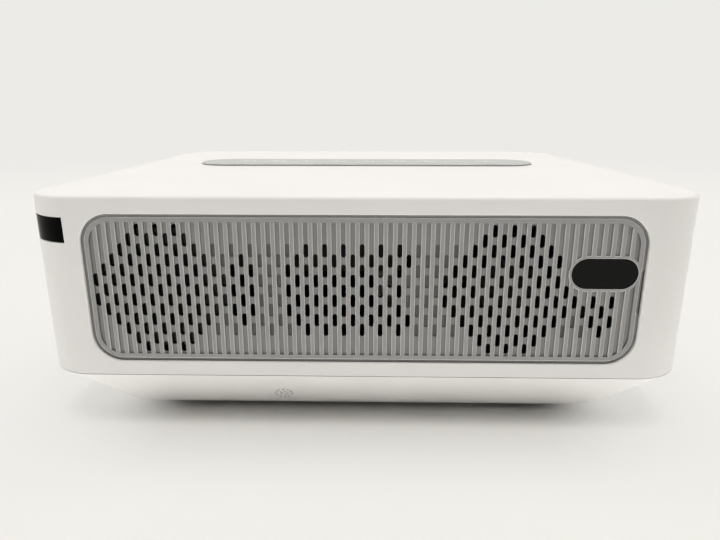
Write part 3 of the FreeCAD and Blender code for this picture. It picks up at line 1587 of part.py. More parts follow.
def make_lens():
    run = "lens_mount_length"
    bore = "barrel_radius + barrel_clear"
    plate = span("-lens_mount_width / 2", "lens_mount_width / 2", "0", "lens_mount_plate",
                 "-engine_height / 2 + 1", "engine_height / 2 - 1")
    tube = rod(f"{bore} + lens_mount_skin", run, axis="y")
    mount = cut(join(plate, tube), rod(bore, f"2 * {run}", "0", f"-{run} / 2", "0", "y"))
    engine_piece("lens_mount", mount, "engine_front")

    barrel = turned(
        ("barrel_radius - barrel_skin", "0"),
        ("barrel_radius", "0"),
        ("barrel_radius", "barrel_length"),
        ("barrel_radius - barrel_skin", "barrel_length"),
    )
    engine_piece("lens_barrel", barrel, "barrel_y", ALONG["y"])

    rim = "(barrel_radius - barrel_skin)"
    lenses = []
    for start, bulge in (("3", "0.6"), ("barrel_length / 2 - 2", "0.8"), ("barrel_length - 9", "1")):
        lenses.append(turned(
            ("0", f"{start}"),
            (rim, f"{start}"),
            (rim, f"{start} + glass_rim"),
            (f"0.8 * {rim}", f"{start} + glass_rim + 0.45 * {bulge} * glass_bulge"),
            (f"0.45 * {rim}", f"{start} + glass_rim + 0.85 * {bulge} * glass_bulge"),
            ("0", f"{start} + glass_rim + {bulge} * glass_bulge"),
        ))
    engine_piece("lens_elements", group(*lenses), "barrel_y", ALONG["y"])

    ring = turned(
        ("barrel_radius + focus_clear", "0"),
        ("focus_radius", "0"),
        ("focus_radius", "focus_length - 1"),
        ("focus_radius - 1", "focus_length"),
        ("barrel_radius + focus_clear", "focus_length"),
    )
    engine_piece("focus_ring", ring, "focus_y", ALONG["y"])

    bezel = turned(
        ("focus_radius + focus_clear", "-lip_thick"),
        ("bezel_hole + bezel_lip", "-lip_thick"),
        ("bezel_hole + bezel_lip", "0"),
        ("bezel_hole - fit_gap", "0"),
        ("bezel_hole - fit_gap", "wall"),
        ("focus_radius + focus_clear + 1.5", "wall"),
        ("focus_radius + focus_clear", "wall - 2"),
    )
    engine_piece("lens_bezel", bezel, "inside_y", ALONG["y"])


# ------------------------------------------------------------------ fans, speakers and boards


def rotor_shape(size, depth):
    """A hub with pitched blades, turning about z."""
    hub = number("fan_hub")
    reach = number(f"{size} / 2 - fan_rim - fan_clear")
    low = number("fan_web + fan_clear")
    high = number(f"{depth} - fan_clear")
    thick = number("blade_thick")
    pitch = number("blade_pitch")
    count = int(number("blade_count"))
    chord = (high - low - thick) / math.sin(math.radians(pitch))
    core = Part.makeCylinder(hub, high - low, Vector(0, 0, low))
    band = Part.makeCylinder(reach, high - low, Vector(0, 0, low))
    blades = []
    for n in range(count):
        blade = Part.makeBox(reach + 1 - hub / 2, chord, thick, Vector(hub / 2, -chord / 2, -thick / 2))
        blade.rotate(Vector(), Vector(1, 0, 0), pitch)
        blade.rotate(Vector(), Vector(0, 0, 1), 360 * n / count)
        blade.translate(Vector(0, 0, (low + high) / 2))
        blades.append(blade.common(band))
    bore = Part.makeCylinder(number("axle_radius + shaft_clear"), high - low - 1, Vector(0, 0, low))
    return core.fuse(blades).cut(bore)


def make_fan(name, size, depth, side, across, out):
    """A square fan that stands behind a grille: its frame and its rotor."""
    bars = [
        block(f"{size} - fan_rim", "4", "fan_web"),
        block("4", f"{size} - fan_rim", "fan_web"),
        rod("fan_hub", "fan_web"),
    ]
    duct = cut(block(size, size, depth), rod(f"{size} / 2 - fan_rim", f"3 * {depth}", z=f"-{depth}"))
    pin = rod("axle_radius", f"{depth} - fan_clear - 3")
    frame = join(duct, *bars, pin)
    keep(f"{name}_fan_frame", frame)
    seat(frame, side, across, "optics_level", out)
    rotor = feature(rotor_shape(size, depth))
    keep(f"{name}_fan_rotor", rotor)
    seat(rotor, side, across, "optics_level", out)


def make_fans():
    make_fan("exhaust", "exhaust_size", "exhaust_depth", "rear", "exhaust_x", "exhaust_y - exhaust_depth")
    make_fan("intake", "intake_size", "intake_depth", "right", "0",
             "inside_x - lip_thick - filter_thick - fit_gap - intake_depth")


def make_speakers():
    units = []
    skin = "speaker_skin"
    for side in ("rear", "front"):
        box = cut(
            block("speaker_width", "speaker_height", "speaker_depth"),
            block(f"speaker_width - 2 * {skin}", f"speaker_height - 2 * {skin}",
                  f"speaker_depth - 2 * {skin}", z=skin),
            rod("cone_radius", "speaker_depth", z="speaker_depth / 2"),
        )
        driver = turned(
            ("0", skin),
            ("magnet_radius", skin),
            ("magnet_radius", f"speaker_depth - {skin} - cone_depth + 1"),
            ("cone_radius", f"speaker_depth - {skin}"),
            ("cone_radius", "speaker_depth"),
            ("cone_radius - 2", "speaker_depth"),
            ("magnet_radius - 1", "speaker_depth - cone_depth + 1"),
            ("0", "speaker_depth - cone_depth + 2"),
        )
        for solid in (box, driver):
            back = "inside_y - lip_thick - speaker_depth"
            units.append(seat(solid, side, "speaker_x", "optics_level", back))
    keep("speakers", group(*units), "0")


def make_boards():
    board = block("main_length", "main_width", "board_thick")
    chips = [
        block("main_length / 6", "main_length / 6", "chip_height", "main_length / 4", "0", "board_thick"),
        block("main_length / 9", "main_length / 9", "chip_height", "0", "main_width / 4", "board_thick"),
        block("main_length / 5", "main_width / 8", "2 * chip_height", "main_length / 8", "-main_width / 3",
              "board_thick"),
    ]
    front = "(-socket_face - main_x)"
    sockets = []
    for wide, high, along in square_sockets():
        case = span(front, f"{front} + socket_length", f"{along} - {wide} / 2", f"{along} + {wide} / 2",
                    "board_thick", f"board_thick + {high}")
        hollow = span(f"{front} - 1", f"{front} + socket_length - socket_skin",
                      f"{along} - {wide} / 2 + socket_skin", f"{along} + {wide} / 2 - socket_skin",
                      "board_thick + socket_skin", f"board_thick + {high} - socket_skin")
        sockets.append(cut(case, hollow))
    for along in round_sockets():
        sockets.append(cut(
            join(
                rod("jack_radius", "socket_length", front, along, "board_thick + jack_radius", "x"),
                span(f"{front} + 2 * wall", f"{front} + socket_length", f"{along} - jack_radius",
                     f"{along} + jack_radius", "board_thick", "board_thick + jack_radius"),
            ),
            rod("jack_bore", "socket_length", f"{front} - 1", along, "board_thick + jack_radius", "x"),
        ))
    solid = join(board, *chips, *sockets)
    keep("main_board", solid, "main_x", "main_y", "main_level")

    parts = [
        block("power_length", "power_width", "board_thick"),
        block("coil_size", "coil_size", "coil_height", "-power_length / 8", "power_width / 6", "board_thick"),
        block("coil_size / 3", "2 * coil_size", "coil_height", "power_length / 3", "0", "board_thick"),
        *[
            rod("can_radius", "can_height", "power_length / 8", f"({n} - 1) * 2.6 * can_radius",
                "board_thick")
            for n in range(3)
        ],
    ]
    keep("power_board", join(*parts), "power_x", "power_y", "power_level")

    shell = cut(
        block("inlet_width", "inlet_height", "inlet_length"),
        block("2 * inlet_spread", "1.2 * inlet_bore", "inlet_depth", z="inlet_length - inlet_depth"),
        *[
            rod("inlet_bore", "inlet_depth", f"{a} * inlet_spread", z="inlet_length - inlet_depth")
            for a in (-1, 1)
        ],
    )
    pins = [rod("inlet_pin", "inlet_length - 2 * inlet_pin", f"{a} * inlet_spread") for a in (-1, 1)]
    foot = span("-inlet_width / 2", "inlet_width / 2", "power_top - inlet_level", "-inlet_height / 4", "0",
                "inlet_foot")
    inlet = join(shell, *pins, foot)
    keep("mains_inlet", inlet)
    seat(inlet, "left", "inlet_y", "inlet_level", "socket_face - inlet_length")


# ------------------------------------------------------------------ the whole

make_top_cover()
make_bottom_cover()
make_grilles()
make_case_trim()
make_keys()
make_tray()
make_chassis()
make_clamp()
make_traverse()
make_loading_drive()
make_engine()
make_lens()
make_fans()
make_speakers()
make_boards()
doc.recompute()

unsound = [item for item in doc.Objects if {"Invalid", "Error"} & set(item.State)]
if unsound:
    raise RuntimeError("not sound: " + ", ".join(f"{item.Name} ({item.Label})" for item in unsound))
broken = [
    piece.Label
    for piece in PIECES
    if piece.Shape.isNull() or not piece.Shape.isValid() or not piece.Shape.Solids
]
if broken:
    raise RuntimeError("no valid solid: " + ", ".join(broken))
for piece in PIECES:
    piece.Shape.exportStep(f"parts/{piece.Label}.step")
    print(f"{piece.Label}: {len(piece.Shape.Solids)} solid(s), {piece.Shape.Volume / 1000:.2f} cm3")
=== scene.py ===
import json
import math

import bmesh
import bpy
import numpy as np
import mathutils
from mathutils import Euler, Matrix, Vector


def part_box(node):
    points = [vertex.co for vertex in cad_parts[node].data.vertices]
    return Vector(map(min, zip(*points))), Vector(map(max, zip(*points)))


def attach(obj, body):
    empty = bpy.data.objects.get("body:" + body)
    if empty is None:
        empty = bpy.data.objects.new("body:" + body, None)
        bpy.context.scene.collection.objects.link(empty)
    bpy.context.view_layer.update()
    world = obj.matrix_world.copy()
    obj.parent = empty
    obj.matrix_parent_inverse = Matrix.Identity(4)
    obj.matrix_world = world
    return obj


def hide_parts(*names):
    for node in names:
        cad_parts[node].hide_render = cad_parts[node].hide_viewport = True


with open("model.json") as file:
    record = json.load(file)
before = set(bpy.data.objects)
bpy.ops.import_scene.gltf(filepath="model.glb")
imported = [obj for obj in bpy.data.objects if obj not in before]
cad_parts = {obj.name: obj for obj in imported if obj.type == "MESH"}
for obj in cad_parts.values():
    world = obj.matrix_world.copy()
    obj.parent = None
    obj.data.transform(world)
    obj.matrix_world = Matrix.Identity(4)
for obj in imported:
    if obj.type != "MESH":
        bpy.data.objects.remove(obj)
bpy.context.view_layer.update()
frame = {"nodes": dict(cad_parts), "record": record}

nodes = frame["nodes"]
mm = 0.001
print("frame loaded:", len(nodes), "nodes")


# finishes
def linear(hexColour):
    # sRGB hex to the linear colour that a shader works in
    parts = [int(hexColour[n:n + 2], 16) / 255 for n in (1, 3, 5)]
    return [p / 12.92 if p <= 0.04045 else ((p + 0.055) / 1.055) ** 2.4 for p in parts] + [1.0]


def addNode(tree, kind, settings=None, values=None, links=None):
    # adds one node, sets its options and unlinked sockets, and joins the sockets in links
    made = tree.nodes.new("ShaderNode" + kind)
    for name, value in (settings or {}).items():
        setattr(made, name, value)
    for name, value in (values or {}).items():
        made.inputs[name].default_value = value
    for name, socket in (links or {}).items():
        tree.links.new(socket, made.inputs[name])
    return made


def startMaterial(name, colour, **surface):
    # a Principled surface with its constant values set on its own sockets
    material = bpy.data.materials.new(name)
    material.use_nodes = True
    tree = material.node_tree
    shader = tree.nodes["Principled BSDF"]
    shader.inputs["Base Color"].default_value = linear(colour)
    for socket, value in surface.items():
        shader.inputs[socket.replace("_", " ")].default_value = value
    material.diffuse_color = linear(colour)
    place = addNode(tree, "TexCoord").outputs["Object"]
    return material, tree, shader, place


def grain(tree, place, shader, size, height, detail=2.0):
    # dimples about size mm across and height mm deep
    noise = addNode(tree, "TexNoise", values={"Scale": 1000 / size, "Detail": detail, "Roughness": 0.6},
                    links={"Vector": place})
    bump = addNode(tree, "Bump", values={"Strength": 0.5, "Distance": height * mm},
                   links={"Height": noise.outputs["Fac"]})
    tree.links.new(bump.outputs["Normal"], shader.inputs["Normal"])


def patches(tree, place, size, low=0.35, high=0.65, stretch=(1, 1, 1)):
    # a mask from 0 to 1 in cloudy patches about size mm across, longer where stretch is over 1
    scaled = addNode(tree, "Mapping", values={"Scale": [1000 / size / s for s in stretch]},
                     links={"Vector": place})
    noise = addNode(tree, "TexNoise", values={"Scale": 1.0, "Detail": 3.0},
                    links={"Vector": scaled.outputs[0]})
    return addNode(tree, "MapRange", values={"From Min": low, "From Max": high},
                   links={"Value": noise.outputs["Fac"]}).outputs[0]


def edges(tree, radius):
    # a mask that is 1 where the surface turns within radius mm: its softened normal against the true one
    soft = addNode(tree, "Bevel", {"samples": 4}, {"Radius": radius * mm})
    true = addNode(tree, "NewGeometry")
    cosine = addNode(tree, "VectorMath", {"operation": "DOT_PRODUCT"}, links={
        0: soft.outputs["Normal"], 1: true.outputs["Normal"]})
    return addNode(tree, "MapRange", values={"From Min": 0.99, "From Max": 0.85},
                   links={"Value": cosine.outputs["Value"]}).outputs[0]


def recesses(tree, reach):
    # a mask that is 1 where walls closer than reach mm shut the surface in, as in a seam or a small hole
    hemisphere = addNode(tree, "AmbientOcclusion", {"samples": 8}, {"Distance": reach * mm})
    return addNode(tree, "MapRange", values={"From Min": 0.55, "From Max": 0.2},
                   links={"Value": hemisphere.outputs["AO"]}).outputs[0]


def overlay(tree, shader, mask, colour, share=1.0):
    # lays a colour over what the surface already has, by the mask times a share
    part = addNode(tree, "Math", {"operation": "MULTIPLY"}, {1: share}, {0: mask})
    socket = shader.inputs["Base Color"]
    mix = addNode(tree, "Mix", {"data_type": "RGBA"}, {7: linear(colour)}, {0: part.outputs[0]})
    if socket.links:
        tree.links.new(socket.links[0].from_socket, mix.inputs[6])
    else:
        mix.inputs[6].default_value = socket.default_value
    tree.links.new(mix.outputs[2], socket)


def polish(tree, shader, mask, low, high):
    # roughness runs from low to high with the mask
    spread = addNode(tree, "MapRange", values={"To Min": low, "To Max": high}, links={"Value": mask})
    tree.links.new(spread.outputs[0], shader.inputs["Roughness"])


# moulded skins: width and depth of the dimples and reach of the painted shade in mm, the painted shade's
# colour, and how strongly the painted shade and the painted edge highlights show
skin = {"dimple": 0.5, "depth": 0.01, "reach": 1.5, "dustAndShade": "#4A4845", "paintedLightShare": 0.9}


def sparkErodedAbs(name, colour, pale, roughness=0.42, rim=0.35, highlight=None):
    # ABS moulded in a spark-eroded tool: satin, with fine dimples and a slow drift of the resin's tone; its
    # edges are painted lighter over rim mm as a painted highlight, and its seams and holes darker as painted
    # shade
    material, tree, shader, place = startMaterial(name, colour, IOR=1.53)
    grain(tree, place, shader, skin["dimple"], skin["depth"])
    polish(tree, shader, patches(tree, place, 30), roughness - 0.03, roughness + 0.04)
    overlay(tree, shader, patches(tree, place, 60), pale, 0.12)
    # painted highlight: every edge within rim mm is coloured lighter, standing in for light that catches it
    overlay(tree, shader, edges(tree, rim), highlight or pale, skin["paintedLightShare"])
    # painted shade: darker in seams, gaps and small holes, where close walls shut the surface in
    overlay(tree, shader, recesses(tree, skin["reach"]), skin["dustAndShade"], skin["paintedLightShare"])
    return material


# the colours of a ribbed panel by zone, after its own grey: corner and lip are painted highlights on the
# chamfers, and groove, wall, dent, slot and ledge are painted shade
ribs = {"colour": "#949391", "corner": "#C6C5C2", "groove": "#8B8A88", "wall": "#6A6967", "dent": "#646361",
        "slot": "#070707", "ledge": "#7C7B79", "lip": "#E6E5E2"}
zoneNumbers = {zone: number for number, zone in enumerate(ribs)}


def ribbedAbs(name):
    # satin grey ABS for a ribbed panel: painted highlights on the chamfered corners and the frame's lip,
    # painted shade in the grooves, on their walls, in the blind slots and on the ledge, and open slots painted
    # black inside as shade. Each face carries the number of its zone.
    material, tree, shader, place = startMaterial(name, ribs["colour"], IOR=1.53)
    grain(tree, place, shader, skin["dimple"], skin["depth"])
    polish(tree, shader, patches(tree, place, 30), 0.4, 0.48)
    overlay(tree, shader, patches(tree, place, 60), ribs["corner"], 0.08)
    zone = addNode(tree, "Attribute", {"attribute_name": "zone"}).outputs["Fac"]
    for kind, number in zoneNumbers.items():
        if kind != "colour":
            inside = addNode(tree, "Math", {"operation": "COMPARE"}, {1: number, 2: 0.1}, {0: zone})
            overlay(tree, shader, inside.outputs[0], ribs[kind])
    return material


def glassFilledAbs(name, colour, pale, roughness=0.5):
    # black engineering ABS: dull, with pale fibre flecks under the skin and scuffed corners
    material, tree, shader, place = startMaterial(name, colour, IOR=1.54)
    grain(tree, place, shader, 0.4, 0.015)
    polish(tree, shader, patches(tree, place, 12), roughness - 0.06, roughness + 0.08)
    overlay(tree, shader, patches(tree, place, 0.5, 0.62, 0.75, (1, 4, 1)), pale, 0.5)
    overlay(tree, shader, edges(tree, 0.3), pale, 0.7)
    return material


def polishedPolycarbonate(name, colour, shine, haze="#1C1C1C"):
    # infra-red window plastic, polished: near black and glassy, with a faint haze of handling
    material, tree, shader, place = startMaterial(name, colour, IOR=1.58)
    shader.inputs["Specular IOR Level"].default_value = shine
    polish(tree, shader, patches(tree, place, 14), 0.05, 0.14)
    overlay(tree, shader, patches(tree, place, 0.4, 0.68, 0.74), haze, 0.4)
    return material


def acetal(name, colour, shade):
    # acetal gears and sliders: waxy off-white, a little light passes under the skin
    material, tree, shader, place = startMaterial(name, colour, IOR=1.48, Subsurface_Weight=0.15,
                                                  Subsurface_Scale=0.001)
    polish(tree, shader, patches(tree, place, 5), 0.3, 0.42)
    overlay(tree, shader, patches(tree, place, 8), shade, 0.5)
    return material


def mouldedRubber(name, colour, dustAndShade, grit):
    # vulcanised rubber: dull black with a bloom of dust that sits in its texture
    material, tree, shader, place = startMaterial(name, colour, IOR=1.52)
    grain(tree, place, shader, grit, 0.04)
    polish(tree, shader, patches(tree, place, 4), 0.7, 0.9)
    overlay(tree, shader, patches(tree, place, 3, 0.5, 0.8), dustAndShade, 0.35)
    return material


def turnedBrass(name, colour, shade):
    # free-cutting brass from a lathe: warm and bright, with fine rings round its axis
    material, tree, shader, place = startMaterial(name, colour, Metallic=1.0)
    rings = patches(tree, place, 0.25, 0.3, 0.7, (40, 40, 1))
    polish(tree, shader, rings, 0.22, 0.38)
    overlay(tree, shader, patches(tree, place, 3), shade, 0.4)
    return material


def blackZinc(name, colour, shine, cast="#3E4652"):
    # black zinc plating on screws: dark grey with an oily brown and blue cast, bright on worn edges
    material, tree, shader, place = startMaterial(name, colour, Metallic=1.0)
    polish(tree, shader, patches(tree, place, 0.8), 0.3, 0.5)
    overlay(tree, shader, patches(tree, place, 1.5), cast, 0.6)
    overlay(tree, shader, edges(tree, 0.2), shine, 0.8)
    return material


def galvanisedSheet(name, colour, dark, width=5):
    # hot-dip galvanised sheet steel: spangles about width mm across, each with its own grey and gloss
    material, tree, shader, place = startMaterial(name, colour, Metallic=1.0)
    spangle = addNode(tree, "TexVoronoi", values={"Scale": 1000 / width}, links={"Vector": place})
    tone = addNode(tree, "SeparateColor", links={"Color": spangle.outputs["Color"]}).outputs[0]
    polish(tree, shader, tone, 0.28, 0.5)
    overlay(tree, shader, tone, dark, 0.5)
    return material


def drawnSteel(name, colour, dark, grind, along=(1, 1, 60)):
    # steel drawn or ground in one direction: fine lines of grind mm that run along it
    material, tree, shader, place = startMaterial(name, colour, Metallic=1.0)
    lines = patches(tree, place, grind, 0.3, 0.7, along)
    polish(tree, shader, lines, 0.16, 0.36)
    overlay(tree, shader, lines, dark, 0.35)
    return material


def extrudedAluminium(name, colour, dark):
    # clear anodised extrusion: soft grey sheen with die lines that run up the fins
    material, tree, shader, place = startMaterial(name, colour, Metallic=1.0)
    lines = patches(tree, place, 0.35, 0.3, 0.7, (1, 1, 80))
    polish(tree, shader, lines, 0.32, 0.48)
    overlay(tree, shader, lines, dark, 0.3)
    return material


def coatedGlass(name, colour, film):
    # optical glass under a thin magnesium fluoride film: clear, with a violet flash in its reflections
    material, tree, shader, place = startMaterial(name, colour, IOR=1.52, Transmission_Weight=1.0)
    shader.inputs["Thin Film Thickness"].default_value = film
    shader.inputs["Thin Film IOR"].default_value = 1.38
    polish(tree, shader, patches(tree, place, 15), 0.0, 0.03)
    return material


def panelGlass(name, colour, cell="#1B1D20"):
    # the display panel: smoked glass over a dark cell grid, drawn at 0.5 mm because the real one is too fine
    material, tree, shader, place = startMaterial(name, colour, IOR=1.52, Transmission_Weight=0.7,
                                                  Roughness=0.04)
    cells = addNode(tree, "TexBrick", {"offset": 0.0}, {
        "Scale": 1.0, "Brick Width": 0.5 * mm, "Row Height": 0.5 * mm, "Mortar Size": 0.05 * mm,
        "Color1": (0, 0, 0, 1), "Color2": (0, 0, 0, 1), "Mortar": (1, 1, 1, 1)}, {"Vector": place})
    overlay(tree, shader, cells.outputs["Color"], cell, 0.8)
    return material


def paperCone(name, colour, pale):
    # pressed paper speaker cones in their baskets: matt charcoal with pale fibres
    material, tree, shader, place = startMaterial(name, colour, IOR=1.45)
    grain(tree, place, shader, 0.9, 0.05)
    polish(tree, shader, patches(tree, place, 5), 0.65, 0.85)
    overlay(tree, shader, patches(tree, place, 0.7, 0.55, 0.7, (1, 5, 1)), pale, 0.5)
    return material


def filterFoam(name, colour, deep, pore=0.9):
    # open-cell dust filter foam: black, with pores about pore mm across that swallow the light
    material, tree, shader, place = startMaterial(name, colour, IOR=1.45, Roughness=0.95)
    pores = addNode(tree, "TexVoronoi", values={"Scale": 1000 / pore}, links={"Vector": place})
    hollow = addNode(tree, "MapRange", values={"From Min": 0.5, "From Max": 0.1},
                     links={"Value": pores.outputs["Distance"]}).outputs[0]
    overlay(tree, shader, hollow, deep)
    bump = addNode(tree, "Bump", {"invert": True}, {"Distance": 0.4 * mm}, {"Height": hollow})
    tree.links.new(bump.outputs["Normal"], shader.inputs["Normal"])
    return material


# the boards: thickness and the width of the socket strip in mm, width of the mesh of tracks, and colours
board = {
    "thick": 1.6, "sockets": 15.0, "tracks": 6.0,
    "mask": "#14532E", "trace": "#2F7C4A", "chip": "#1A1B1D", "shell": "#B4B6B8",
}


def solderMask(node):
    # a fibreglass board under green solder mask: copper tracks show paler through it, and what stands on the
    # board is black moulded plastic, or tinned steel along the edge that holds the sockets
    material, tree, shader, place = startMaterial(node + "_mask", board["mask"], IOR=1.5)
    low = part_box(node)[0]
    tracks = addNode(tree, "TexVoronoi", {"feature": "DISTANCE_TO_EDGE"},
                     {"Scale": 1000 / board["tracks"]}, {"Vector": place})
    track = addNode(tree, "MapRange", values={"From Min": 0.1, "From Max": 0.04},
                    links={"Value": tracks.outputs["Distance"]}).outputs[0]
    overlay(tree, shader, track, board["trace"])
    axes = addNode(tree, "SeparateXYZ", links={"Vector": place}).outputs
    raised = addNode(tree, "Math", {"operation": "GREATER_THAN"}, {1: low[2] + (board["thick"] + 0.05) * mm},
                     {0: axes["Z"]}).outputs[0]
    overlay(tree, shader, raised, board["chip"])
    polish(tree, shader, raised, 0.25, 0.45)
    if node == "main_board":
        near = addNode(tree, "Math", {"operation": "LESS_THAN"}, {1: low[0] + board["sockets"] * mm},
                       {0: axes["X"]}).outputs[0]
        both = addNode(tree, "Math", {"operation": "MULTIPLY"}, links={0: near, 1: raised}).outputs[0]
        overlay(tree, shader, both, board["shell"])
        tree.links.new(both, shader.inputs["Metallic"])
    return material


finishes = {
    "shell_white": sparkErodedAbs("white_abs", "#E4E1DE", "#FAF8F6"),
    "grille_grey": sparkErodedAbs("grey_abs", "#A9AAA6", "#BDBEBA"),
    # the plate's and the keys' wide white edge rims are painted highlights; on the keys they show as light dots
    # at the left and right ends
    "plate_grey": sparkErodedAbs("plate_abs", "#B2B3B0", "#C2C3C0", 0.4, 0.9, "#FFFFFF"),
    "key_grey": sparkErodedAbs("key_abs", "#B4B5B2", "#C4C5C2", 0.36, 1.3, "#FFFFFF"),
    "window_black": polishedPolycarbonate("black_polycarbonate", "#0B0B0B", 0.1),
    "trim_dark": sparkErodedAbs("dark_abs", "#3A3A3B", "#58585A", 0.5),
    "frame_black": glassFilledAbs("black_abs", "#1E1E1F", "#4A4A4C"),
    "tray_dark": sparkErodedAbs("tray_abs", "#2A2A2C", "#48484A", 0.38),
    "acetal_white": acetal("acetal", "#E4E0D6", "#D2CCBC"),
    "foot_rubber": mouldedRubber("foot_rubber", "#242424", "#5A5854", 0.8),
    "belt_rubber": mouldedRubber("belt_rubber", "#161616", "#3C3C3C", 0.3),
    "brass": turnedBrass("turned_brass", "#D9B66B", "#A9853F"),
    "screw_steel": blackZinc("black_zinc", "#4A4A4C", "#A8A9AC"),
    "bridge_steel": galvanisedSheet("galvanised_sheet", "#C2C4C7", "#8C8F93"),
    "motor_steel": drawnSteel("motor_can", "#BDBFC2", "#8E9093", 0.4),
    "rod_steel": drawnSteel("ground_rod", "#D2D4D6", "#A4A6A9", 0.15, (1, 60, 60)),
    "sink_aluminium": extrudedAluminium("extruded_aluminium", "#C9CBCE", "#9A9DA1"),
    "lens_glass": coatedGlass("coated_glass", "#DDE8F0", 105.0),
    "panel_glass": panelGlass("panel_glass", "#6A7078"),
    "speaker_grey": paperCone("speaker_cone", "#3A3A3C", "#6A6A6A"),
    "filter_foam": filterFoam("filter_foam", "#303032", "#060606"),
}
for part in frame["record"]["subparts"]:
    piece = nodes[part["node"]]
    piece.data.materials.clear()
    if part["material_slot"] == "circuit_green":
        piece.data.materials.append(solderMask(part["node"]))
    else:
        piece.data.materials.append(finishes[part["material_slot"]])
nodes["corner_band"].data.materials[0] = polishedPolycarbonate("deep_polycarbonate", "#050505", 0.02)
print("finishes:", len(finishes))


# grilles
# sizes in mm along the panel, and levels in mm out from its back plane
grilleSizes = {
    "pitch": 4.0, "step": 4.5076, "drop": 0.3, "groove": 1.95, "slot": 5.9, "slotEnd": 0.85, "slotWide": 2.1,
    "gap": 1.35, "clear": 0.1, "border": 2.15, "lip": 2.5, "face": 1.5, "ledge": 0.9, "floor": 0.6,
    "blind": 0.0, "back": -1.5, "chamfer": 0.35, "height": 65.35,
}
# the mesh of a panel: how close outlines may come and the least step of a wall in mm, how far apart points
# are welded and how short an edge is dropped in metres, and the angle in degrees from which an edge is sharp
grilleMesh = {"cut": 1e-5, "step": 1e-4, "weld": 2e-7, "short": 1e-7, "sharp": 30}
# width and height of each opening, its corner, and where the panel sits
grilles = {
    "rear_grille": {
        "width": 241.0, "height": 67.1, "corner": 13.0, "across": 0.0, "side": (0, -1), "out": 132.0},
    "front_grille": {
        "width": 102.0, "height": 58.0, "corner": 9.0, "across": -68.0, "side": (0, 1), "out": 132.0},
    "intake_grille": {
        "width": 104.0, "height": 60.0, "corner": 9.0, "across": 0.0, "side": (1, 0), "out": 145.5},
}
windowPane = {"x": 103.6, "y": 8.25, "width": 28.4, "height": 13.5, "rim": 1.2, "chamfer": 0.2}
fingerNotch = {"depth": 0.3, "slit": 0.7, "length": 19.5, "past": 3.0}


def honeycomb(column, row, middle, reach, limit):
    # a six-sided cluster of slots about a column
    return abs(column - middle) < reach and abs(row) <= min(limit, reach - abs(column - middle))


def rearOpen(column, row):
    # two large clusters, a small one and a wide one between them, and a few slots under the window
    if honeycomb(column, row, -22, 8, 6):
        return True
    if honeycomb(column, row, 16, 8, 6):
        return (column, row) not in ((22, -2), (23, -1))
    if abs(column + 13) <= 1:
        return abs(row) <= 3 - abs(column + 13)
    if -8 <= column <= 4:
        return abs(row) <= min(4, column + 10)
    if column == 5:
        return abs(row) == 3
    return (column, row) in ((24, 2), (26, 2), (26, 4), (25, 1), (25, 3), (27, 1), (27, 3))


def rearBlind(column, row):
    # dents fill the gaps between the clusters
    between = -16 <= column <= 10 and abs(row) <= 4
    return not rearOpen(column, row) and (between or (column, row) in ((22, 4), (24, 4), (23, 3)))


# for each panel, which sites of its grid are open and which are only dents
slotRules = {
    "rear_grille": (rearOpen, rearBlind),
    "front_grille": (lambda column, row: honeycomb(column, row, 5, 7, 5), lambda column, row: False),
    "intake_grille": (lambda column, row: honeycomb(column, row, 0, 12, 5), lambda column, row: False),
}


def roundedOutline(width, height, corner, x=0.0, y=0.0, steps=10):
    # corner centres plus a quarter turn of the corner radius at each, anticlockwise
    turn = np.linspace(0, np.pi / 2, steps + 1)
    turns = np.concatenate([turn + n * np.pi / 2 for n in range(4)])
    signX = np.repeat([1, -1, -1, 1], steps + 1)
    signY = np.repeat([1, 1, -1, -1], steps + 1)
    return np.stack([x + signX * (width / 2 - corner) + corner * np.cos(turns),
                     y + signY * (height / 2 - corner) + corner * np.sin(turns)], 1)


def roundedDistance(points, width, height, corner, x=0.0, y=0.0):
    # distance outside a rounded rectangle, negative inside it
    over = np.abs(points - (x, y)) - (width / 2 - corner, height / 2 - corner)
    return np.hypot(*np.maximum(over, 0).T) + np.minimum(over.max(1), 0) - corner


def grown(size, by):
    # a rounded rectangle's width, height and corner with by more on every side
    return [size[0] + 2 * by, size[1] + 2 * by, size[2] + by]


def planSizes(shape):
    # the rounded rectangles that the rest is measured from
    g, pane = grilleSizes, windowPane
    opening = [shape["width"], shape["height"], shape["corner"]]
    return {
        "opening": opening,
        "frame": grown(opening, -g["gap"]),
        "field": grown(opening, -g["gap"] - g["border"]),
        "pane": [pane["width"], pane["height"], pane["height"] / 2],
        "panePlace": {"x": pane["x"], "y": pane["y"]},
    }


def columnsOf(plan):
    # the columns of the grid that fit in the field, counted from its middle
    last = int((plan["field"][0] / 2 - grilleSizes["groove"] / 2) // grilleSizes["pitch"])
    return range(-last, last + 1)


def frameOutline(plan, inset, isRear):
    # the frame drawn in by inset, with the finger notch in its right-hand side
    points = roundedOutline(*grown(plan["frame"], -inset))
    if not isRear:
        return points
    x, deep, reach = plan["frame"][0] / 2 - inset, fingerNotch["depth"], fingerNotch["length"] / 2 + inset
    steps = [[x, -reach], [x - deep, -reach + deep], [x - deep, reach - deep], [x, reach]]
    return np.concatenate([steps, points])


def nearWindow(x, y, long):
    # whether a slot this long would cut the window's rim: its spine against the window's, end to end
    g, pane = grilleSizes, windowPane
    beside = max(abs(x - pane["x"]) - (pane["width"] - pane["height"]) / 2, 0)
    above = max(abs(y - pane["y"]) - (long / 2 - g["groove"] / 2), 0)
    return math.hypot(beside, above) < pane["height"] / 2 + pane["rim"] + g["groove"] / 2


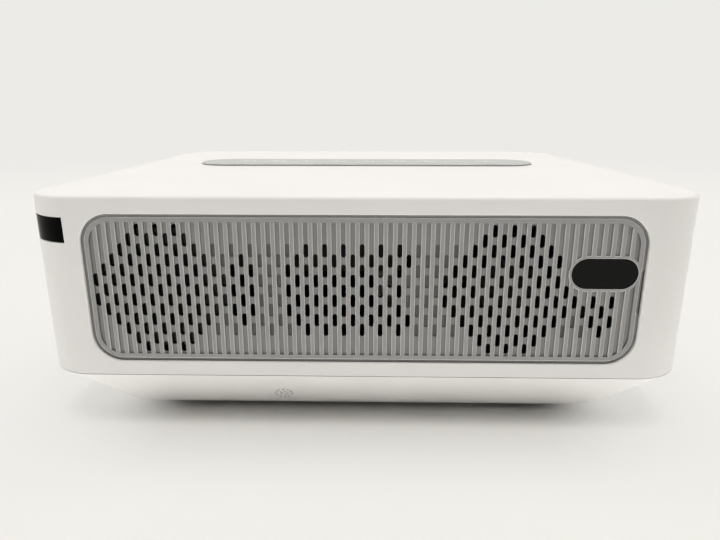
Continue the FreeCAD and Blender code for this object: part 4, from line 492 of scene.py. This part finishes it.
def slotOutlines(node, plan):
    # a stadium on every other site of the grid, cut short where it would leave the field
    g = grilleSizes
    isOpen, isBlind = slotRules[node]
    longest = plan["field"][1] / 2 - g["slotEnd"]
    rows = int(plan["opening"][1] / 2 // g["step"]) + 1
    found = []
    for column in columnsOf(plan):
        for row in range(-rows, rows + 1):
            blind = isBlind(column, row)
            if (column + row) % 2 or not (blind or isOpen(column, row)):
                continue
            x, y = column * g["pitch"], -row * g["step"] - g["drop"]
            low, high = max(y - g["slot"] / 2, -longest), min(y + g["slot"] / 2, longest)
            y, long = (low + high) / 2, high - low
            if node == "rear_grille" and nearWindow(x, y, long):
                continue
            wide = g["groove"] if blind else g["slotWide"]
            found.append(("dent" if blind else "slot", roundedOutline(wide, long, wide / 2, x, y, 6)))
    return found


def planOutlines(node, plan):
    # every outline that the plan is cut along, with its kind; chamfered ones come twice, a chamfer apart
    g, pane, notch = grilleSizes, windowPane, fingerNotch
    isRear = node == "rear_grille"
    found = []
    if isRear:  # the notch opens the ledge beside it
        x, far, reach = plan["opening"][0] / 2 - notch["slit"], notch["past"], notch["length"] / 2
        found.append(("notch", np.array([[x, -reach], [x + far, -reach], [x + far, reach], [x, reach]])))
    found += [
        ("back", roundedOutline(*grown(plan["opening"], g["lip"]))),
        ("ledge", roundedOutline(*grown(plan["frame"], g["gap"] - g["clear"]))),
        ("frame", frameOutline(plan, 0, isRear)),
        ("top", frameOutline(plan, g["chamfer"], isRear)),
        ("field", roundedOutline(*plan["field"])),
    ]
    reach = plan["field"][1] / 2 + g["chamfer"] + 0.5  # a little past the field
    for column in columnsOf(plan):
        for kind, side in (("groove", g["groove"] / 2), ("grooveWide", g["groove"] / 2 + g["chamfer"])):
            x = column * g["pitch"]
            found.append((kind, np.array([[x - side, -reach], [x + side, -reach], [x + side, reach],
                                          [x - side, reach]])))
    if isRear:
        for kind, by in (("pane", 0), ("paneWide", pane["chamfer"]), ("rim", pane["rim"]),
                         ("rimTop", pane["rim"] - g["chamfer"])):
            found.append((kind, roundedOutline(*grown(plan["pane"], by), **plan["panePlace"])))
    return found + slotOutlines(node, plan)


outlineKinds = ("back", "ledge", "notch", "frame", "top", "field", "groove", "grooveWide", "pane", "paneWide",
                "rim", "rimTop", "slot", "dent")


def cutPlan(outlines):
    # the plan as triangles that keep to every outline, and for each kind the triangles inside it
    starts = np.cumsum([0] + [len(points) for kind, points in outlines])
    loops = [list(range(low, high)) for low, high in zip(starts[:-1], starts[1:])]
    corners = np.concatenate([points for kind, points in outlines])
    cut = mathutils.geometry.delaunay_2d_cdt(
        [Vector(corner) for corner in corners], [], loops, 1, grilleMesh["cut"])
    counts = [len(owners) for owners in cut[5]]
    number = np.repeat(np.arange(len(counts)), counts)
    kinds = np.array([kind for kind, points in outlines])[np.concatenate(cut[5]).astype(int)]
    inside = {kind: np.bincount(number[kinds == kind], minlength=len(counts)) > 0 for kind in outlineKinds}
    return np.array([corner[:2] for corner in cut[0]]), np.array(cut[2]), inside


def reliefZones(plan, at, inside, isRear):
    # the zones from the first that counts to the last: where each lies, its level, the colour of its floor
    # and the colour of the walls down to it. A chamfer rises by the distance from its outline, to the face.
    g, pane, place = grilleSizes, windowPane, plan["panePlace"]
    chamfer = g["chamfer"]
    column = np.round(at[:, 0] / g["pitch"]) * g["pitch"]
    groove = np.maximum(np.abs(at[:, 0] - column) - g["groove"] / 2, roundedDistance(at, *plan["field"]))
    rim = -roundedDistance(at, *plan["frame"])
    if isRear:
        groove = np.maximum(groove, -roundedDistance(at, *grown(plan["pane"], pane["rim"]), **place))
        notch = np.maximum(plan["frame"][0] / 2 - fingerNotch["depth"] - at[:, 0],
                           np.abs(at[:, 1]) - fingerNotch["length"] / 2)
        rim = np.minimum(rim, np.maximum(notch, 0))
    paneGap = roundedDistance(at, *plan["pane"], **place)

    def slope(distance, width):
        return (g["face"] - width + np.clip(distance, 0, width)).reshape(-1, 3)

    inGroove = inside["groove"] & inside["field"] & ~inside["rim"]
    inGrooveWide = inside["grooveWide"] & inside["field"] & ~inside["rimTop"]
    # the floor and wall colours paint light and shade: highlights on the chamfers and the frame's lip, and
    # shade in the slots, dents, grooves and finger notch, on the walls and on the ledge
    return [
        (inside["slot"] & inside["field"] & ~inside["rimTop"], np.nan, "slot", "slot"),
        (inside["dent"] & inGroove, g["blind"], "dent", "dent"),
        (inGroove, g["floor"], "groove", "wall"),
        (inside["pane"], np.nan, "slot", "slot"),
        (inside["paneWide"], slope(paneGap, pane["chamfer"]), "corner", "wall"),
        (inGrooveWide, slope(groove, chamfer), "corner", "wall"),
        (inside["top"], g["face"], "colour", "ledge"),
        (inside["frame"], slope(rim, chamfer), "lip", "ledge"),
        (inside["notch"] & inside["back"], 0.0, "slot", "slot"),
        (inside["ledge"], g["ledge"], "ledge", "ledge"),
        (inside["back"], 0.0, "ledge", "ledge"),
    ]


def stepWalls(points, triangles, shown, ends):
    # An upright quad along every edge whose two sides differ in level, and one down to the back along every
    # edge with a single side. Returns the quads' corners and the two triangles that each stands between.
    start, end = triangles.ravel(), np.roll(triangles, -1, 1).ravel()
    atStart, atEnd = ends.ravel(), np.roll(ends, -1, 1).ravel()
    owner = np.repeat(np.arange(len(triangles)), 3)
    key = np.minimum(start, end) * len(points) + np.maximum(start, end)
    order = np.argsort(key, kind="stable")
    shared = key[order][1:] == key[order][:-1]
    first, second = order[:-1][shared], order[1:][shared]
    high = np.stack([atStart[first], atEnd[first]], 1)
    low = np.stack([atEnd[second], atStart[second]], 1)
    kept = (shown[owner[first]] | shown[owner[second]]) & (np.abs(high - low).max(1) > grilleMesh["step"])
    alone = np.setdiff1d(order, np.concatenate([first, second]))
    alone = alone[shown[owner[alone]]]
    side = np.concatenate([first[kept], alone])
    other = np.concatenate([second[kept], alone])
    high = np.concatenate([high[kept], np.stack([atStart[alone], atEnd[alone]], 1)])
    low = np.concatenate([low[kept], np.full((len(alone), 2), grilleSizes["back"])])
    a, b = points[start[side]], points[end[side]]
    quads = np.stack([np.column_stack([a, high[:, 0]]), np.column_stack([a, low[:, 0]]),
                      np.column_stack([b, low[:, 1]]), np.column_stack([b, high[:, 1]])], 1)
    return quads.reshape(-1, 3), owner[side], owner[other]


def makeGrille(node, shape):
    # A relief over a flat plan. Each outline cuts the plan into triangles, each triangle takes the level of the
    # zone it lies in, a chamfer rises by the distance from its outline, and a wall joins levels that differ.
    back = grilleSizes["back"]
    plan = planSizes(shape)
    outlines = planOutlines(node, plan)
    points, triangles, inside = cutPlan(outlines)
    zones = reliefZones(plan, points[triangles].reshape(-1, 2), inside, node == "rear_grille")
    level = np.full((len(triangles), 3), np.nan)
    zoneOf = np.full(len(triangles), len(zones))
    for number, (where, value, *_) in enumerate(zones):
        free = where & (zoneOf == len(zones))
        zoneOf[free] = number
        level[free] = value[free] if isinstance(value, np.ndarray) else value
    floorTint = np.array([zoneNumbers[zone[2]] for zone in zones] + [0])
    wallTint = np.array([zoneNumbers[zone[3]] for zone in zones] + [0])

    # the front skin, the back skin and the walls
    shown = ~np.isnan(level[:, 0])
    front = np.concatenate([points[triangles[shown]], level[shown][..., None]], 2).reshape(-1, 3)
    under = np.concatenate([points[triangles[shown][:, ::-1]], np.full((shown.sum(), 3, 1), back)], 2)
    quads, first, second = stepWalls(points, triangles, shown, np.where(shown[:, None], level, back))
    vertices = np.concatenate([front, under.reshape(-1, 3), quads])
    flat = 2 * len(front)
    faces = np.arange(flat).reshape(-1, 3).tolist() + np.arange(flat, len(vertices)).reshape(-1, 4).tolist()
    between = np.where(first == second, 0, wallTint[np.minimum(zoneOf[first], zoneOf[second])])
    tints = np.concatenate([floorTint[zoneOf[shown]], np.zeros(shown.sum(), int), between])

    # the plan stood up in its wall
    outX, outY = shape["side"]
    placed = np.stack([
        shape["across"] - outY * vertices[:, 0] + outX * (shape["out"] + vertices[:, 2]),
        outX * vertices[:, 0] + outY * (shape["out"] + vertices[:, 2]),
        grilleSizes["height"] + vertices[:, 1]], 1) * mm
    mesh = bpy.data.meshes.new(node + "_moulded")
    mesh.from_pydata(placed, [], faces)
    mesh.attributes.new("zone", "INT", "FACE").data.foreach_set("value", tints.astype(np.int32))
    welded = bmesh.new()
    welded.from_mesh(mesh)
    bmesh.ops.remove_doubles(welded, verts=welded.verts, dist=grilleMesh["weld"])
    bmesh.ops.dissolve_degenerate(welded, dist=grilleMesh["short"], edges=welded.edges)
    welded.to_mesh(mesh)
    welded.free()
    mesh.shade_smooth()
    mesh.set_sharp_from_angle(angle=math.radians(grilleMesh["sharp"]))
    mesh.materials.append(ribbedAbs(node + "_abs"))
    piece = bpy.data.objects.new(node + "_moulded", mesh)
    bpy.context.collection.objects.link(piece)
    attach(piece, "case")
    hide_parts(node)
    slots = sum(kind in ("slot", "dent") for kind, points in outlines)
    print(node, "with", slots, "slots and", len(mesh.polygons), "faces")


for node, shape in grilles.items():
    makeGrille(node, shape)


# small pieces
def makePrism(name, loops, levels, inset, upright, material):
    # each outline carried along a straight path from the first level to the second, with both ends drawn in
    # by inset towards the outline's middle; upright prisms rise along Z, others run along X
    low, high = levels
    points, faces, first = [], [], 0
    for loop in loops:
        middle = (loop.max(0) + loop.min(0)) / 2
        small = middle + (loop - middle) * (1 - inset / np.abs(loop - middle).max())
        rings = np.stack([small, loop, loop, small])
        heights = np.repeat([low, low + inset, high - inset, high], len(loop)).reshape(4, -1, 1)
        stack = np.concatenate([rings, heights] if upright else [heights, rings], 2)
        points.append(stack.reshape(-1, 3))
        number = first + np.arange(4 * len(loop)).reshape(4, -1)
        after = np.roll(number, -1, 1)
        faces += np.stack([number[:-1], after[:-1], after[1:], number[1:]], 2).reshape(-1, 4).tolist()
        faces += [number[0][::-1].tolist(), number[3].tolist()]
        first += 4 * len(loop)
    mesh = bpy.data.meshes.new(name)
    mesh.from_pydata(np.concatenate(points) * mm, [], faces)
    mesh.materials.append(material)
    mesh.set_sharp_from_angle(angle=math.radians(30))
    piece = bpy.data.objects.new(name, mesh)
    bpy.context.collection.objects.link(piece)
    return piece


def arcBand(inner, outer, start, end, steps=24):
    # the area between two radii from one angle to another, in degrees, anticlockwise
    turn = np.radians(np.linspace(start, end, steps))
    ring = np.stack([np.cos(turn), np.sin(turn)], 1)
    return np.concatenate([outer * ring, inner * ring[::-1]])


# the sockets' inner tongues: each has its place in steps of the pitch along the board, then its width,
# thickness and height above the board in mm
sockets = {
    "start": 2.0, "end": 12.5, "inset": 0.2, "pitch": 15.2,
    "tongues": [(-2, 10.4, 1.1, 3.9), (-1, 10.4, 1.1, 3.9), (0, 10.6, 1.8, 3.6), (0, 12.4, 0.6, 7.3),
                (0, 10.6, 1.8, 11.0)],
}


def makeSocketTongues():
    low, high = (np.array(corner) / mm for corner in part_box("main_board"))
    middle = (low[1] + high[1]) / 2
    loops = [roundedOutline(wide, thick, 0.45 * thick, middle + along * sockets["pitch"],
                            low[2] + board["thick"] + rise, 3)
             for along, wide, thick, rise in sockets["tongues"]]
    levels = (low[0] + sockets["start"], low[0] + sockets["end"])
    piece = makePrism("socket_tongues", loops, levels, sockets["inset"], False, finishes["frame_black"])
    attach(piece, "case")


# the marks on the keys, plain control signs about 4 mm across, printed in white
keyMarks = {"rise": 0.02, "sink": 0.05, "inset": 0.01, "line": 0.45, "size": 1.9,
            "colour": "#F2F3F0", "thin": "#D2D3CF"}


def padPrint(name, colour, thin):
    # pad-printed ink: a thin matt film, a little uneven where the pad left it
    material, tree, shader, place = startMaterial(name, colour, IOR=1.5)
    polish(tree, shader, patches(tree, place, 0.6), 0.5, 0.7)
    overlay(tree, shader, patches(tree, place, 0.25, 0.6, 0.75), thin, 0.5)
    return material


def markLoops():
    # the signs' outlines about the middle of a key, in mm
    r, w = keyMarks["size"], keyMarks["line"]
    arrow = np.array([[0.9 * r, 0], [-0.5 * r, 0.85 * r], [-0.5 * r, -0.85 * r]])

    def turned(loop, degrees):
        a = math.radians(degrees)
        return loop @ np.array([[math.cos(a), math.sin(a)], [-math.sin(a), math.cos(a)]])

    def bar(x, y, wide, high):
        return np.array([[x - wide / 2, y - high / 2], [x + wide / 2, y - high / 2],
                         [x + wide / 2, y + high / 2], [x - wide / 2, y + high / 2]])

    return {
        "power": [arcBand(r - w, r, 120, 420), bar(0, 0.6 * r, w, 1.1 * r)],
        "source": [bar(0, -0.75 * r, 2 * r, w), bar(0, 0.75 * r, 2 * r, w),
                   bar(-r + w / 2, 0, w, 1.5 * r - w), arrow * 0.5 + (0.35 * r, 0)],
        "left": [turned(arrow, 180)],
        "up": [turned(arrow, 90)],
        "enter": [arcBand(0.35 * r, 0.35 * r + w, 0, 345)],
        "down": [turned(arrow, 270)],
        "right": [arrow],
        "back": [arcBand(0.7 * r - w, 0.7 * r, -90, 90),
                 turned(arrow * 0.5, 180) + (-0.4 * r, 0.7 * r - w / 2)],
        "eject": [turned(arrow, 90) + (0, 0.15 * r), bar(0, -0.85 * r, 1.7 * r, w)],
    }


def makeKeyMarks():
    ink = padPrint("pad_ink", keyMarks["colour"], keyMarks["thin"])
    for key, loops in markLoops().items():
        low, high = (np.array(corner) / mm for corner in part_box(key + "_key"))
        centre = (low[:2] + high[:2]) / 2
        levels = (high[2] - keyMarks["sink"], high[2] + keyMarks["rise"])
        placed = [loop + centre for loop in loops]
        piece = makePrism(key + "_mark", placed, levels, keyMarks["inset"], True, ink)
        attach(piece, key + "_key")


makeSocketTongues()
makeKeyMarks()
print("small pieces ready")


# floor, light and camera
# A white studio. Each lamp has a strength and its rises, an axis of the sky with the values where it is dark
# and where it is full: overhead, behind, three at the sides and a faint one high in front. Lengths are in
# metres: the glow lies in a band from near to far round foot, half the footprint, and the flank is the
# share of plain colour beside the object, painted light that lightens the object's shadow there.
studio = {
    "background": "#ECEBE7", "floor": "#DFDEDB", "bounce": "#FAFAF8", "light": "#FFFEFC",
    "reach": 20.0, "fade": (0.6, 1.6),
    "glow": 0.41, "foot": (0.09, 0.132), "near": (0.0, 0.03), "far": (0.35, 0.08),
    "flank": 0.63, "flankFrom": (-0.01, 0.045), "flankTo": (0.2, 0.08), "flankEnd": (0.1, 0.02),
    "lamps": [
        (5.55, [("Z", 0.8, 1.0)]),
        (1.1, [("Y", -0.2, 0.7), ("Z", 0.7, 0.2)]),
        (0.1, [("X", 0.35, 0.95)]),
        (1.0, [("X", 0.75, 1.0), ("Z", 0.6, 0.3)]),
        (1.4, [("X", -0.75, -1.0), ("Z", 0.6, 0.3)]),
        (0.01, [("Y", 0.1, -0.5), ("Z", 0.2, 0.6)]),
    ],
}


def seenRays(tree):
    # 1 for what the camera sees, straight on, in a mirror or through glass
    ray = addNode(tree, "LightPath").outputs
    direct = addNode(tree, "Math", {"operation": "MAXIMUM"}, links={
        0: ray["Is Camera Ray"], 1: ray["Is Glossy Ray"]})
    return addNode(tree, "Math", {"operation": "MAXIMUM"}, links={
        0: direct.outputs[0], 1: ray["Is Transmission Ray"]}).outputs[0]


def smoothRise(tree, value, start, end):
    # 0 at start and 1 at end, with a soft beginning and end
    low, high = min(start, end), max(start, end)
    return addNode(tree, "MapRange", {"interpolation_type": "SMOOTHSTEP"}, {
        "From Min": low, "From Max": high, "To Min": float(start > end), "To Max": float(start < end)},
        {"Value": value}).outputs[0]


def makeFloor():
    # pale paint near the object, which runs into the backdrop's own colour further out; a glow about it
    # fills from below, as a reflector card does
    reach = studio["reach"]
    mesh = bpy.data.meshes.new("floor")
    mesh.from_pydata([(-reach, -reach, 0), (reach, -reach, 0), (reach, reach, 0), (-reach, reach, 0)],
                     [], [(0, 1, 2, 3)])
    floor = bpy.data.objects.new("floor", mesh)
    bpy.context.collection.objects.link(floor)
    material, tree, shader, place = startMaterial("floor_paint", studio["floor"], Roughness=0.7)
    shader.inputs["Specular IOR Level"].default_value = 0.1
    seen = seenRays(tree)
    tone = addNode(tree, "Mix", {"data_type": "RGBA"}, {
        6: linear(studio["bounce"]), 7: linear(studio["floor"])}, {0: seen})
    tree.links.new(tone.outputs[2], shader.inputs["Base Color"])

    # how far past the footprint, along each axis and at the most
    side = addNode(tree, "VectorMath", {"operation": "ABSOLUTE"}, links={0: place}).outputs[0]
    beyond = addNode(tree, "VectorMath", {"operation": "SUBTRACT"}, {1: (*studio["foot"], 0)}, {0: side})
    gaps = addNode(tree, "SeparateXYZ", links={"Vector": beyond.outputs[0]}).outputs
    gap = addNode(tree, "Math", {"operation": "MAXIMUM"}, links={0: gaps["X"], 1: gaps["Y"]}).outputs[0]

    # the glow, which only lights
    card = addNode(tree, "Math", {"operation": "MULTIPLY"}, links={
        0: smoothRise(tree, gap, *studio["near"]), 1: smoothRise(tree, gap, *studio["far"])})
    lit = addNode(tree, "Math", {"operation": "MULTIPLY"}, {1: studio["glow"]}, {0: card.outputs[0]})
    glow = addNode(tree, "MapRange", values={"To Max": 0.0}, links={"Value": seen, "To Min": lit.outputs[0]})
    tree.links.new(glow.outputs[0], shader.inputs["Emission Strength"])

    # the backdrop's plain colour, which is only seen: all of it far out, and a share of it beside the object
    # as painted light that lightens the object's shadow there
    away = addNode(tree, "VectorMath", {"operation": "LENGTH"}, links={0: place}).outputs["Value"]
    flank = addNode(tree, "Math", {"operation": "MULTIPLY"}, links={
        0: smoothRise(tree, gaps["X"], *studio["flankFrom"]),
        1: smoothRise(tree, gaps["X"], *studio["flankTo"])})
    ended = addNode(tree, "Math", {"operation": "MULTIPLY"}, links={
        0: flank.outputs[0], 1: smoothRise(tree, gaps["Y"], *studio["flankEnd"])})
    softer = addNode(tree, "Math", {"operation": "MULTIPLY"}, {1: studio["flank"]}, {0: ended.outputs[0]})
    pale = addNode(tree, "Math", {"operation": "MAXIMUM"}, links={
        0: smoothRise(tree, away, *studio["fade"]), 1: softer.outputs[0]})
    share = addNode(tree, "Math", {"operation": "MULTIPLY"}, links={0: pale.outputs[0], 1: seen})
    backdrop = addNode(tree, "Emission", values={"Color": linear(studio["background"])})
    blend = addNode(tree, "MixShader", links={
        0: share.outputs[0], 1: shader.outputs[0], 2: backdrop.outputs[0]})
    tree.links.new(blend.outputs[0], tree.nodes["Material Output"].inputs["Surface"])
    mesh.materials.append(material)


def makeStudio():
    # each lamp is a soft patch of sky, the product of its rises along the axes, and the light is their sum
    world = bpy.data.worlds.new("studio")
    bpy.context.scene.world = world
    world.use_nodes = True
    tree = world.node_tree
    direction = addNode(tree, "TexCoord").outputs["Generated"]
    axes = addNode(tree, "SeparateXYZ", links={"Vector": direction}).outputs
    total = None
    for strength, rises in studio["lamps"]:
        patch = smoothRise(tree, axes[rises[0][0]], *rises[0][1:])  # the first rise, times the others
        for axis, start, end in rises[1:]:
            patch = addNode(tree, "Math", {"operation": "MULTIPLY"}, links={
                0: patch, 1: smoothRise(tree, axes[axis], start, end)}).outputs[0]
        links = {0: patch, 2: total} if total else {0: patch}
        total = addNode(tree, "Math", {"operation": "MULTIPLY_ADD"}, {1: strength, 2: 0.0}, links).outputs[0]
    lit = tree.nodes["Background"]
    lit.inputs["Color"].default_value = linear(studio["light"])
    tree.links.new(total, lit.inputs["Strength"])
    shown = addNode(tree, "Background", values={"Color": linear(studio["background"]), "Strength": 1.0})
    mix = addNode(tree, "MixShader", links={0: seenRays(tree), 1: lit.outputs[0], 2: shown.outputs[0]})
    tree.links.new(mix.outputs[0], tree.nodes["World Output"].inputs["Surface"])


# the camera: place and nearest distance in metres, pitch and yaw in degrees, lens and film in mm
view = {"place": (0.00386, -0.3697, 0.1412), "pitch": 15.678, "yaw": -1.153, "lens": 28.6, "film": 36,
        "nearest": 0.01}


def addCamera():
    data = bpy.data.cameras.new("camera")
    data.lens = view["lens"]
    data.sensor_width = view["film"]
    data.clip_start = view["nearest"]
    camera = bpy.data.objects.new("camera", data)
    camera.location = view["place"]
    camera.rotation_euler = Euler((math.radians(90 - view["pitch"]), 0, math.radians(-view["yaw"])))
    bpy.context.collection.objects.link(camera)
    bpy.context.scene.camera = camera


makeFloor()
makeStudio()
addCamera()
bpy.context.scene.view_settings.view_transform = "Standard"
print("stage ready")
